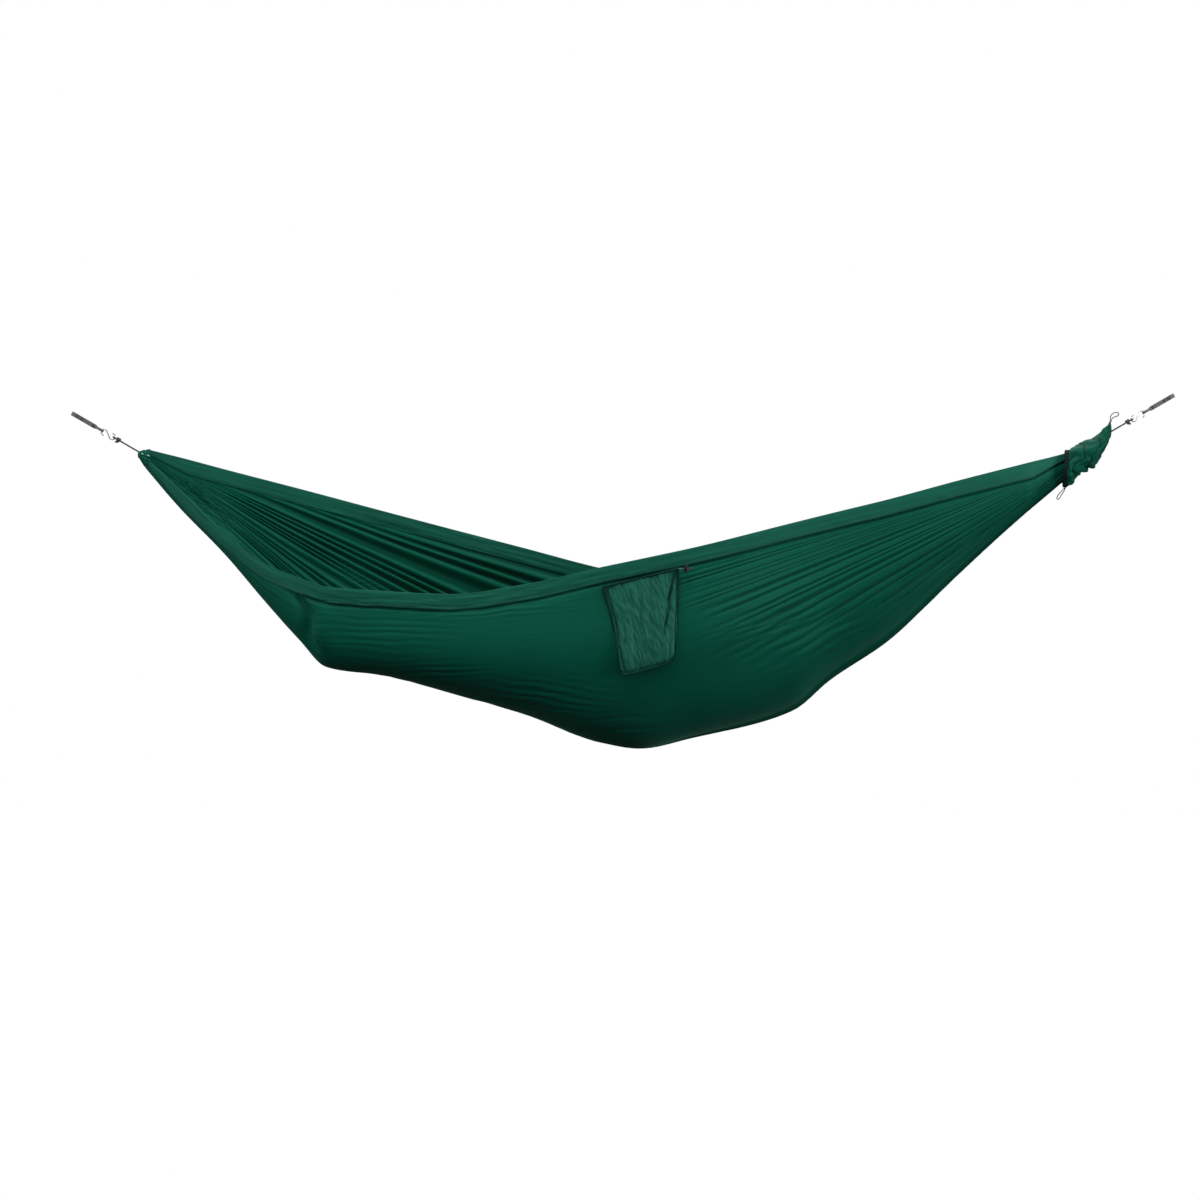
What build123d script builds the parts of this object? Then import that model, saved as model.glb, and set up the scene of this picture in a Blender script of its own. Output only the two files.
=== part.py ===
"""Gathered-end camping hammock, hung and loaded: sheet, pocket, end cords, S-hooks, strap ends and sleeve.

Millimetres. The origin is the centre of the left strap's anchor eye, +X runs towards the right anchor and
+Z is up. Each end is drawn once along its line of pull, then placed at the left and mirrored to the right.
"""

from build123d import *
import math
import os

import numpy as np

# Hang: where the two anchor eyes are, and how steeply each end pulls.
ANCHOR_SPAN = 3025.0
ANCHOR_RISE = 50.0
PULL_ANGLE = 30.0

# Strap end: doubled webbing with an eye at each end, distances along the line of pull.
WEB_WIDTH = 12.0
WEB_EYE_WIDTH = 7.0
WEB_THICK = 1.5
ANCHOR_EYE_R = 9.0
HOOK_EYE_R = 9.0
HOOK_EYE_X = 80.7
EYE_TAPER = 1.3
TACK_THICK = 0.4

# S-hook: round wire, two equal bends open on opposite sides.
HOOK_WIRE_R = 2.0
HOOK_BEND_R = 8.0
HOOK_START = 83.0
HOOK_LENGTH = 46.0
HOOK_TIP = 7.0
HOOK_TIP_FLARE = 18.0

# Suspension cord, its eye round the hook and its knot.
CORD_R = 2.2
CORD_EYE_R = 5.2
KNOT_R = 7.4
KNOT_START = 132.0
KNOT_LENGTH = 12.0
CHANNEL_TIP = 203.0
CORD_END = 228.0

# Sheet: wall of its stand-in, edge bands and the exponent of its rounded box section.
SHEET_WALL = 3.0
BAND_WALL = 4.5
BAND_HEIGHT = 42.0
BAND_SHARE = 0.14
SECTION_POWER = 2.9
SECTION_STEPS = 14

# Stations along the loaded sheet: x, then y and z of the near rim, the keel and the far rim.
STATIONS = [
    (205, (-18, -125), (-4, -157), (15, -96)),
    (300, (-95, -213), (-78, -264), (40, -120)),
    (420, (-200, -326), (-168, -386), (70, -152)),
    (540, (-292, -414), (-230, -524), (102, -183)),
    (621, (-340, -447), (-252, -614), (124, -204)),
    (700, (-368, -474), (-242, -694), (146, -225)),
    (850, (-385, -486), (-202, -719), (186, -265)),
    (1040, (-384, -495), (-146, -767), (234, -315)),
    (1240, (-362, -469), (-84, -821), (282, -367)),
    (1450, (-340, -422), (-22, -903), (324, -422)),
    (1560, (-336, -399), (0, -922), (340, -445)),
    (1700, (-326, -369), (34, -890), (360, -470)),
    (1980, (-244, -299), (122, -809), (388, -490)),
    (2080, (-215, -274), (166, -727), (390, -485)),
    (2240, (-175, -235), (210, -621), (386, -465)),
    (2440, (-126, -181), (236, -436), (334, -385)),
    (2620, (-70, -135), (126, -272), (166, -232)),
    (2732, (-17, -106), (3, -179), (26, -140)),
    (2815, (-12, -78), (0, -120), (14, -84)),
]

# End channels: centre height and half sizes (y, z) at the gathered tip and where the sheet begins.
CHANNEL_LEFT = [(177.0, -110.0, 9.0, 9.5), (190.0, -118.0, 17.0, 22.0), (205.0, -126.0, 21.0, 32.0)]
CHANNEL_RIGHT = [(2847.0, -54.5, 8.0, 8.5), (2832.0, -76.0, 14.0, 17.0), (2815.0, -98.0, 17.0, 24.0)]
CHANNEL_BORE_R = 2.3

# Pocket: outline seen from the near side, first along its mouth, and its depth towards the near side.
POCKET_TOP_LEFT = (1458.0, -471.0)
POCKET_TOP_RIGHT = (1664.0, -421.0)
POCKET_BOTTOM = [(1470.0, -527.0), (1506.0, -694.0), (1530.0, -712.0), (1632.0, -687.0), (1657.0, -662.0)]
POCKET_BACK_Y = -343.0
POCKET_DEPTH = 16.0
POCKET_WALL = 1.5
HEM_R = 3.0
HEM_BORE_R = 2.1
HEM_DROP = 4.5

# Drawcord and its spring cord lock.
DRAWCORD_R = 1.5
DRAWCORD_EXIT_X = 1667.0
DRAWCORD_END_X = 1696.5
LOCK_X = 1684.5
LOCK_R = 7.5
LOCK_BORE_R = 5.5
LOCK_HEIGHT = 14.0
LOCK_FLOOR = 2.0
LOCK_BELOW_CORD = 9.8
LOCK_CORD_HOLE_R = 1.9
BUTTON_R = 5.4
BUTTON_TRAVEL = 4.0
BUTTON_PROUD = 5.0
SPRING_R = 3.2
SPRING_WIRE_R = 0.4
SPRING_TURNS = 4

# Sleeve bunched over the right end: x, centre z and half sizes (y, z) of its outer sections.
SLEEVE = [
    (2741.0, -148.0, 44.0, 52.0),
    (2775.0, -122.0, 45.0, 46.0),
    (2812.0, -101.0, 42.0, 42.0),
    (2835.0, -73.0, 32.0, 34.0),
    (2857.0, -44.0, 17.0, 21.0),
]
SLEEVE_WALL = 2.0
CUFF_WIDTH = 12.0
CUFF_WALL = 4.0
SLEEVE_CORD_R = 1.25
SLEEVE_NECK_ROUTE = [
    (2857, 0, -20), (2857, -1, -10), (2859, -3, -1), (2865, -3, 5), (2873, -3, 8), (2880, -1, 6),
    (2881, 2, 0), (2875, 4, -4), (2867, 4, -6), (2861, 2, -11), (2859, 1, -20),
]
CUFF_TAIL_ROUTE = [
    (2731, -3, -202), (2726, -7, -206), (2719, -9, -214), (2712, -8, -222), (2709, -4, -230),
    (2713, 0, -234), (2719, 2, -227), (2724, 2, -218), (2730, 1, -210), (2734, 0, -202),
]


def at_left(shape):
    """Turn a piece drawn along +X into the left end's line of pull."""
    return Rot(0, PULL_ANGLE, 0) * shape


def at_right(shape):
    """Mirror a piece drawn along +X into the right end's line of pull."""
    return Pos(ANCHOR_SPAN, 0, ANCHOR_RISE) * mirror(at_left(shape), about=Plane.YZ)


def tube(path, radius):
    """Round bar along a path."""
    start = Plane(origin=path @ 0, z_dir=path % 0)
    return sweep(start * Circle(radius), path=path)


def eye_outline(x, radius, towards, edge):
    """Teardrop of the given radius round x, drawn to a point of half width edge on the side it is sewn."""
    tip = Pos(x + towards * EYE_TAPER * radius, 0) * Circle(edge)
    return make_hull([*(Pos(x, 0) * Circle(radius)).edges(), *tip.edges()])


def strap_end():
    """Doubled webbing: an anchor eye at the origin and a narrower eye for the hook."""
    outer = eye_outline(0, ANCHOR_EYE_R + WEB_THICK, 1, WEB_THICK)
    outer += eye_outline(HOOK_EYE_X, HOOK_EYE_R + WEB_THICK, -1, WEB_THICK)
    outer += Pos(HOOK_EYE_X / 2, 0) * Rectangle(HOOK_EYE_X, 2 * WEB_THICK)
    outer -= eye_outline(0, ANCHOR_EYE_R, 1, 0.1)
    outer -= eye_outline(HOOK_EYE_X, HOOK_EYE_R, -1, 0.1)
    web = extrude(outer, amount=WEB_WIDTH / 2, both=True)
    neck = HOOK_EYE_X - 2 * HOOK_EYE_R
    end = HOOK_EYE_X + 2 * HOOK_EYE_R
    wide, narrow = WEB_WIDTH / 2, WEB_EYE_WIDTH / 2
    plan = Polygon(
        (-4 * ANCHOR_EYE_R, -wide), (neck - wide, -wide), (neck, -narrow), (end, -narrow),
        (end, narrow), (neck, narrow), (neck - wide, wide), (-4 * ANCHOR_EYE_R, wide), align=None,
    )
    return web & extrude(Plane.XZ * plan, amount=4 * ANCHOR_EYE_R, both=True)


def strap_tacks():
    """Bar tacks: one pad of thread on each face of the webbing beside each eye."""
    pads = []
    for x in (22.0, 58.0):
        for side in (-1, 1):
            y = side * (WEB_THICK + TACK_THICK / 2)
            pads.append(Pos(x, y, 0) * Box(7.0, TACK_THICK, WEB_WIDTH - 2))
    return Compound(children=pads)


def s_hook():
    """Wire hook in the XZ plane, loaded along +X through both bends."""
    x_a = HOOK_START + HOOK_WIRE_R + HOOK_BEND_R
    x_b = HOOK_START + HOOK_LENGTH - HOOK_WIRE_R - HOOK_BEND_R
    lean = math.asin(2 * HOOK_BEND_R / (x_b - x_a))
    on_bend = Vector(HOOK_BEND_R * math.sin(lean), 0, HOOK_BEND_R * math.cos(lean))
    flare = math.radians(HOOK_TIP_FLARE)
    leave = Vector(-HOOK_BEND_R * math.sin(flare), 0, -HOOK_BEND_R * math.cos(flare))
    tip = Vector(HOOK_TIP * math.cos(flare), 0, -HOOK_TIP * math.sin(flare))
    bend_a, bend_b = Vector(x_a, 0, 0), Vector(x_b, 0, 0)
    path = Wire([
        Line(bend_a + leave + tip, bend_a + leave).edge(),
        ThreePointArc(bend_a + leave, (x_a - HOOK_BEND_R, 0, 0), bend_a + on_bend).edge(),
        Line(bend_a + on_bend, bend_b - on_bend).edge(),
        ThreePointArc(bend_b - on_bend, (x_b + HOOK_BEND_R, 0, 0), bend_b - leave).edge(),
        Line(bend_b - leave, bend_b - leave - tip).edge(),
    ])
    return tube(path, HOOK_WIRE_R)


def cord_eye():
    """Cord eye that the hook's far bend passes through, both legs ending at the knot."""
    x = HOOK_START + HOOK_LENGTH - HOOK_WIRE_R
    path = Wire([
        Line((KNOT_START, CORD_EYE_R, 0), (x, CORD_EYE_R, 0)).edge(),
        ThreePointArc((x, CORD_EYE_R, 0), (x - CORD_EYE_R, 0, 0), (x, -CORD_EYE_R, 0)).edge(),
        Line((x, -CORD_EYE_R, 0), (KNOT_START, -CORD_EYE_R, 0)).edge(),
    ])
    return tube(path, CORD_R)


def knot():
    """Knot behind the cord eye, with the stub of the cord's end on its underside."""
    body = Pos(KNOT_START + KNOT_LENGTH / 2, 0, 0) * Rot(0, 90, 0) * Cylinder(KNOT_R, KNOT_LENGTH)
    body = fillet(body.edges().filter_by(GeomType.CIRCLE).sort_by(Axis.X)[-1], 4.0)
    stub = Pos(KNOT_START + 4, 0, -KNOT_R) * Sphere(CORD_R + 0.6)
    return body + stub


def cord():
    """Taut cord from the knot into the end channel."""
    start = KNOT_START + KNOT_LENGTH
    return Pos(start, 0, 0) * Rot(0, 90, 0) * Cylinder(
        CORD_R, CORD_END - start, align=(Align.CENTER, Align.CENTER, Align.MIN)
    )


def channel(sections, bore):
    """Bunched hem of the sheet's end, from its tip to the sheet, bored for the cord."""
    loops = [Pos(x, 0, z) * Rot(0, 90, 0) * Ellipse(tall, wide) for x, z, wide, tall in sections]
    return loft([loop.face() for loop in loops]) - bore


def section(near, keel, far):
    """Section of the sheet from rim to rim: a quarter of a superellipse each side of the keel."""
    turn = np.linspace(0, math.pi / 2, 40)
    out = np.sin(turn) ** (2 / SECTION_POWER)
    up = 1 - np.cos(turn) ** (2 / SECTION_POWER)
    near_side = np.column_stack([keel[0] + (near[0] - keel[0]) * out, keel[1] + (near[1] - keel[1]) * up])
    far_side = np.column_stack([keel[0] + (far[0] - keel[0]) * out, keel[1] + (far[1] - keel[1]) * up])
    line = np.vstack([near_side[::-1], far_side[1:]])
    run = np.concatenate([[0], np.cumsum(np.linalg.norm(np.diff(line, axis=0), axis=1))])
    band = min(BAND_HEIGHT, BAND_SHARE * run[-1])
    marks = np.concatenate([[0], np.linspace(band, run[-1] - band, SECTION_STEPS + 1), [run[-1]]])
    points = np.column_stack([np.interp(marks, run, line[:, k]) for k in (0, 1)])
    along = np.gradient(points, axis=0)
    along /= np.linalg.norm(along, axis=1)[:, None]
    return points, np.column_stack([-along[:, 1], along[:, 0]])


def strip(first, last, wall):
    """Piece of the sheet between two marks of its section, as one closed skin of the given wall."""
    wires = []
    for x, near, keel, far in STATIONS:
        points, inward = section(near, keel, far)
        outer = points[first:last + 1]
        inner = outer + wall * inward[first:last + 1]
        loop = [(x, y, z) for y, z in [*outer, *inner[::-1]]]
        wires.append(Wire.make_polygon(loop, close=True))
    return Solid.make_loft(wires, ruled=True)


def pocket_direction():
    """Unit vector along the pocket's mouth."""
    (x0, z0), (x1, z1) = POCKET_TOP_LEFT, POCKET_TOP_RIGHT
    return Vector(x1 - x0, 0, z1 - z0).normalized()


def pocket_outline(top_drop):
    """Pocket outline in the XZ plane, its mouth lowered by top_drop."""
    start, end = Vector(*POCKET_TOP_LEFT), Vector(*POCKET_TOP_RIGHT)
    slope = math.degrees(math.atan2(end.Y - start.Y, end.X - start.X))
    outline = Polygon(POCKET_TOP_LEFT, *POCKET_BOTTOM, POCKET_TOP_RIGHT, align=None)
    above = Rectangle(400, 100, align=(Align.CENTER, Align.MIN))
    middle = (start + end) / 2
    return outline - Pos(middle.X, middle.Y) * Rot(0, 0, slope) * Pos(0, -top_drop) * above


def pocket_panels():
    """Back panel, and a front panel with side and bottom walls, open along the mouth."""
    plane = Plane.XZ.offset(-POCKET_BACK_Y)
    back = extrude(plane * pocket_outline(0), amount=POCKET_WALL)
    front_plane = plane.offset(POCKET_WALL)
    front = extrude(front_plane * pocket_outline(HEM_DROP + HEM_R), amount=POCKET_DEPTH - POCKET_WALL)
    inside = offset(pocket_outline(-2 * POCKET_WALL), amount=-POCKET_WALL)
    front -= extrude(front_plane * inside, amount=POCKET_DEPTH - 2 * POCKET_WALL)
    return back, front


def hem_line():
    """Start of the hem at the mouth's left end, and its length along the mouth."""
    (x0, z0), (x1, z1) = POCKET_TOP_LEFT, POCKET_TOP_RIGHT
    y = POCKET_BACK_Y - POCKET_DEPTH + HEM_R
    return Vector(x0, y, z0 - HEM_DROP), Vector(x1, y, z1 - HEM_DROP)


def pocket_hem():
    """Tubular hem along the front of the mouth, which the drawcord runs through."""
    start, end = hem_line()
    plane = Plane(origin=start, z_dir=pocket_direction())
    length = (end - start).length
    return extrude(plane * (Circle(HEM_R) - Circle(HEM_BORE_R)), amount=length)


def drawcord_route():
    """Route of the drawcord: along the hem, out of its right end, level through the lock to its knot."""
    start, _ = hem_line()
    along = pocket_direction()
    inside = start + along * 4
    exit_point = start + along * ((DRAWCORD_EXIT_X - start.X) / along.X)
    return [inside, exit_point, Vector(DRAWCORD_END_X, exit_point.Y, exit_point.Z)]


def drawcord():
    """Drawcord tube along its route."""
    route = drawcord_route()
    turn = math.radians((route[1] - route[0]).get_angle(route[2] - route[1]))
    radius = 0.45 * (route[2] - route[1]).length / math.tan(turn / 2)
    print("drawcord bend radius", round(radius, 1))
    return tube(FilletPolyline(*route, radius=radius), DRAWCORD_R)


def drawcord_knot():
    """Knot that keeps the lock on the drawcord."""
    end = drawcord_route()[-1]
    ball = Pos(end.X + 2.6, end.Y, end.Z) * Sphere(3.2)
    return ball - Pos(end.X - 5, end.Y, end.Z) * Box(10, 10, 10)


def lock_centre():
    """Point on the drawcord's axis at the middle of the cord lock."""
    end = drawcord_route()[-1]
    return Vector(LOCK_X, end.Y, end.Z)


def cord_lock():
    """Barrel, button and spring of the cord lock, upright with the drawcord through its side holes."""
    centre = lock_centre()
    base = -LOCK_BELOW_CORD
    top = base + LOCK_HEIGHT
    upright = (Align.CENTER, Align.CENTER, Align.MIN)
    crossing = Rot(0, 90, 0) * Cylinder(LOCK_CORD_HOLE_R, 4 * LOCK_R)
    barrel = fillet((Pos(0, 0, base) * Cylinder(LOCK_R, LOCK_HEIGHT, align=upright)).edges(), 1.5)
    barrel -= Pos(0, 0, base + LOCK_FLOOR) * Cylinder(LOCK_BORE_R, LOCK_HEIGHT, align=upright)
    barrel -= crossing
    low = base + LOCK_FLOOR + BUTTON_TRAVEL + 0.6
    button = Pos(0, 0, low) * Cylinder(BUTTON_R, top + BUTTON_PROUD - low, align=upright)
    button = fillet(button.edges().sort_by(Axis.Z)[-1], 1.5)
    slot = Pos(0, 0, BUTTON_TRAVEL / 2) * Box(4 * LOCK_R, 2 * LOCK_CORD_HOLE_R, BUTTON_TRAVEL)
    button -= crossing + slot + Pos(0, 0, BUTTON_TRAVEL) * crossing
    spring_height = low - base - LOCK_FLOOR - 2 * SPRING_WIRE_R - 0.2
    coil = Helix(pitch=spring_height / SPRING_TURNS, height=spring_height, radius=SPRING_R)
    spring = tube(Wire([coil.edge()]), SPRING_WIRE_R)
    spring = Pos(0, 0, base + LOCK_FLOOR + SPRING_WIRE_R + 0.1) * spring
    place = Pos(centre.X, centre.Y, centre.Z)
    return place * barrel, place * button, place * spring


def sleeve_loft(shrink, stretch):
    """Loft through the sleeve's sections, each drawn in by shrink, the first and last moved out by stretch."""
    faces = []
    for number, (x, z, wide, tall) in enumerate(SLEEVE):
        shift = stretch * {0: -1, len(SLEEVE) - 1: 1}.get(number, 0)
        faces.append((Pos(x + shift, 0, z) * Rot(0, 90, 0) * Ellipse(tall - shrink, wide - shrink)).face())
    return loft(faces, ruled=True)


def sleeve():
    """Open-ended sleeve bunched over the gathered end."""
    return sleeve_loft(0, 0) - sleeve_loft(SLEEVE_WALL, 0.5)


def cuff():
    """Elastic cuff at the sleeve's wide end."""
    x, z, wide, tall = SLEEVE[0]
    ring = Ellipse(tall + 1, wide + 1) - Ellipse(tall + 1 - CUFF_WALL, wide + 1 - CUFF_WALL)
    return extrude(Pos(x - CUFF_WIDTH, 0, z) * Rot(0, 90, 0) * ring, amount=CUFF_WIDTH)


def soft_route(points, name, diameter):
    """Path of a limp cord: arcs as large as its runs allow, with the radii printed."""
    route = [Vector(*point) for point in points]
    radii = []
    for before, here, after in zip(route, route[1:], route[2:]):
        turn = math.radians((here - before).get_angle(after - here))
        shorter = min((here - before).length, (after - here).length)
        radii.append(0.45 * shorter / math.tan(turn / 2))
    print(name, "radii in diameters", [round(r / diameter, 1) for r in radii])
    return FilletPolyline(*route, radius=radii)


def main():
    """Build every piece and write one STEP file for each."""
    pieces = {}
    for side, place in (("left", at_left), ("right", at_right)):
        pieces[f"strap_{side}"] = place(strap_end())
        pieces[f"strap_{side}_bar_tacks"] = place(strap_tacks())
        pieces[f"s_hook_{side}"] = place(s_hook())
        pieces[f"cord_eye_{side}"] = place(cord_eye())
        pieces[f"knot_{side}"] = place(knot())
        pieces[f"suspension_cord_{side}"] = place(cord())
    bore = Pos(CHANNEL_TIP - 10, 0, 0) * Rot(0, 90, 0) * Cylinder(
        CHANNEL_BORE_R, CORD_END - CHANNEL_TIP + 10.2, align=(Align.CENTER, Align.CENTER, Align.MIN)
    )
    pieces["end_channel_left"] = channel(CHANNEL_LEFT, at_left(bore))
    pieces["end_channel_right"] = channel(CHANNEL_RIGHT, at_right(bore))
    last = SECTION_STEPS + 2
    pieces["near_edge_band"] = strip(0, 1, BAND_WALL)
    pieces["body_panel"] = strip(1, last - 1, SHEET_WALL)
    pieces["far_edge_band"] = strip(last - 1, last, BAND_WALL)
    pieces["pocket_back_panel"], pieces["pocket_front_panel"] = pocket_panels()
    pieces["pocket_hem"] = pocket_hem()
    pieces["pocket_drawcord"] = drawcord()
    pieces["drawcord_knot"] = drawcord_knot()
    barrel, button, spring = cord_lock()
    pieces["cord_lock_barrel"] = barrel
    pieces["cord_lock_button"] = button
    pieces["cord_lock_spring"] = spring
    pieces["sleeve_tube"] = sleeve()
    pieces["sleeve_cuff"] = cuff()
    neck = soft_route(SLEEVE_NECK_ROUTE, "sleeve_neck_loop", 2 * SLEEVE_CORD_R)
    pieces["sleeve_neck_loop"] = tube(neck, SLEEVE_CORD_R)
    tail = soft_route(CUFF_TAIL_ROUTE, "cuff_tail_loop", 2 * SLEEVE_CORD_R)
    pieces["cuff_tail_loop"] = tube(tail, SLEEVE_CORD_R)

    os.makedirs("parts", exist_ok=True)
    for name, piece in pieces.items():
        export_step(piece, f"parts/{name}.step")


main()
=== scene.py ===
"""Looks of the gathered-end camping hammock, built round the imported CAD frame. Metres, +Z up.

The sheet is worked out as one pleated surface of two parameters: x along the hang and v across the cloth.
"""

import math

import bpy
import numpy as np
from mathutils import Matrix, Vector


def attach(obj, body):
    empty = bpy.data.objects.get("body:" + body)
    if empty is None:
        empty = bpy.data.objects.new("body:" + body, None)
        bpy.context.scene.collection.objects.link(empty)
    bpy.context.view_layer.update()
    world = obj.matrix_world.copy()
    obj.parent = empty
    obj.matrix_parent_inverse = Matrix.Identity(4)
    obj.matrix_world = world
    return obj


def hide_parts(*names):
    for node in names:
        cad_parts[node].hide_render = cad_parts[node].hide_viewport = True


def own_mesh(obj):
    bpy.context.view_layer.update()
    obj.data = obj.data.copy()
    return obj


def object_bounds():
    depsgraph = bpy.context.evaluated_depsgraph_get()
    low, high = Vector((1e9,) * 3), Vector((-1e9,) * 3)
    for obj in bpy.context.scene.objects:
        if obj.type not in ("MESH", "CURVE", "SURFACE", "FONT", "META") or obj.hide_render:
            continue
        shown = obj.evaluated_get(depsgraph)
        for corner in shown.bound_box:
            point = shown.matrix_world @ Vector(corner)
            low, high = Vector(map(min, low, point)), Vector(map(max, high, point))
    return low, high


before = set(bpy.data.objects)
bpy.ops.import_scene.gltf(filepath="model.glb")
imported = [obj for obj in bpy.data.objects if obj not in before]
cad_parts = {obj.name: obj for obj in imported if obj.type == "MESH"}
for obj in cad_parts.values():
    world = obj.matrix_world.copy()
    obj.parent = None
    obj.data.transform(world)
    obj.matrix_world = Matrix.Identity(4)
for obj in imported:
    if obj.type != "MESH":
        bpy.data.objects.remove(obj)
cad_low, cad_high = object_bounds()

MM = 0.001
TAU = 2 * math.pi

# Hang: each end is drawn along +X from its anchor eye, then turned into its line of pull.
ANCHOR_RIGHT = np.array([3.025, 0.0, 0.050])
PULL_ANGLE = math.radians(30)

# Sheet: x, then y and z of the near rim, the keel and the far rim, in millimetres.
STATIONS = np.array([
    (205, -18, -125, -4, -157, 15, -96),
    (300, -95, -213, -78, -264, 40, -120),
    (420, -200, -326, -168, -386, 70, -152),
    (540, -292, -414, -230, -524, 102, -183),
    (621, -340, -447, -252, -614, 124, -204),
    (700, -368, -474, -242, -694, 146, -225),
    (850, -385, -486, -202, -719, 186, -265),
    (1040, -384, -495, -146, -767, 234, -315),
    (1240, -362, -469, -84, -821, 282, -367),
    (1450, -340, -422, -22, -903, 324, -422),
    (1560, -336, -399, 0, -922, 340, -445),
    (1700, -326, -369, 34, -890, 360, -470),
    (1980, -244, -299, 122, -809, 388, -490),
    (2080, -215, -274, 166, -727, 390, -485),
    (2240, -175, -235, 210, -621, 386, -465),
    (2440, -126, -181, 236, -436, 334, -385),
    (2620, -70, -135, 126, -272, 166, -232),
    (2732, -17, -106, 3, -179, 26, -140),
    (2815, -12, -78, 0, -120, 14, -84),
]) * MM
SECTION_POWER = 2.9
BAND_HEIGHT = 0.042
BAND_SHARE = 0.14
BAND_PROUD = 0.0022
CLOTH_WIDTH = 1.50
BAND_TUCK = 0.12
SHEET_OVERLAP = 0.004
BODY_ROWS = 190
BODY_COLUMNS = 520
BAND_ROWS = 620

# ------------------------------------------------------------------ small shared tools


def smooth_step(t):
    """Eases from 0 to 1: 3t² − 2t³, flat outside that stretch."""
    t = np.clip(t, 0, 1)
    return t * t * (3 - 2 * t)


def rise(value, start, width):
    """Eases from 0 at start to 1 at start + width."""
    return smooth_step((value - start) / width)


def fall(value, stop, width):
    """Eases from 1 at stop - width to 0 at stop."""
    return smooth_step((stop - value) / width)


def bell(distance, width):
    """1 at no distance, falling off both ways: e to the power of minus (distance over width) squared."""
    return np.exp(-(distance / width) ** 2)


def circle(count):
    """Angles of so many places evenly round a circle."""
    return np.arange(count) / count * TAU


def crossings(first, second):
    """Both values at every crossing of two lists, as two grids."""
    return np.meshgrid(first, second, indexing="ij")


def run_along(line):
    """Distance travelled along a line at each of its points, from 0."""
    return np.concatenate([[0], np.cumsum(np.linalg.norm(np.diff(line, axis=0), axis=1))])


def signed_power(value, power):
    """Sign of a value times its size raised to a power, for superellipse sections."""
    return np.sign(value) * np.abs(value) ** power


LATTICE_START = 64.0


def rolling(a, b, cell_a, cell_b, seed):
    """Smooth random field between -1 and 1: random heights on a lattice of the cell size, eased between."""
    draws = np.random.default_rng(seed)
    p, q = a / cell_a + LATTICE_START, b / cell_b + LATTICE_START
    i, j = np.floor(p).astype(int), np.floor(q).astype(int)
    heights = draws.uniform(-1, 1, (i.max() + 2, j.max() + 2))
    s, t = smooth_step(p - i), smooth_step(q - j)
    near = heights[i, j] * (1 - t) + heights[i, j + 1] * t
    far = heights[i + 1, j] * (1 - t) + heights[i + 1, j + 1] * t
    return near * (1 - s) + far * s


def monotone(x, knots, values):
    """Cubic through the knots that never overshoots. Each slope is the harmonic mean of those beside it."""
    gap = np.diff(knots)
    rise = np.diff(values) / gap
    same = rise[1:] * rise[:-1] > 0
    weight_a, weight_b = 2 * gap[1:] + gap[:-1], gap[1:] + 2 * gap[:-1]
    safe_a, safe_b = np.where(same, rise[:-1], 1), np.where(same, rise[1:], 1)
    inner = np.where(same, (weight_a + weight_b) / (weight_a / safe_a + weight_b / safe_b), 0)
    slope = np.concatenate([rise[:1], inner, rise[-1:]])
    k = np.clip(np.searchsorted(knots, x) - 1, 0, len(knots) - 2)
    t, h = (x - knots[k]) / gap[k], gap[k]
    return ((1 + 2 * t) * (1 - t) ** 2 * values[k] + t * (1 - t) ** 2 * h * slope[k]
            + t * t * (3 - 2 * t) * values[k + 1] + t * t * (t - 1) * h * slope[k + 1])


def surface_normals(points):
    """Unit normals of a grid of points: the cross product of its two directions."""
    along, across = np.gradient(points, axis=0), np.gradient(points, axis=1)
    normal = np.cross(along, across)
    return normal / np.maximum(np.linalg.norm(normal, axis=2, keepdims=True), 1e-12)


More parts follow.
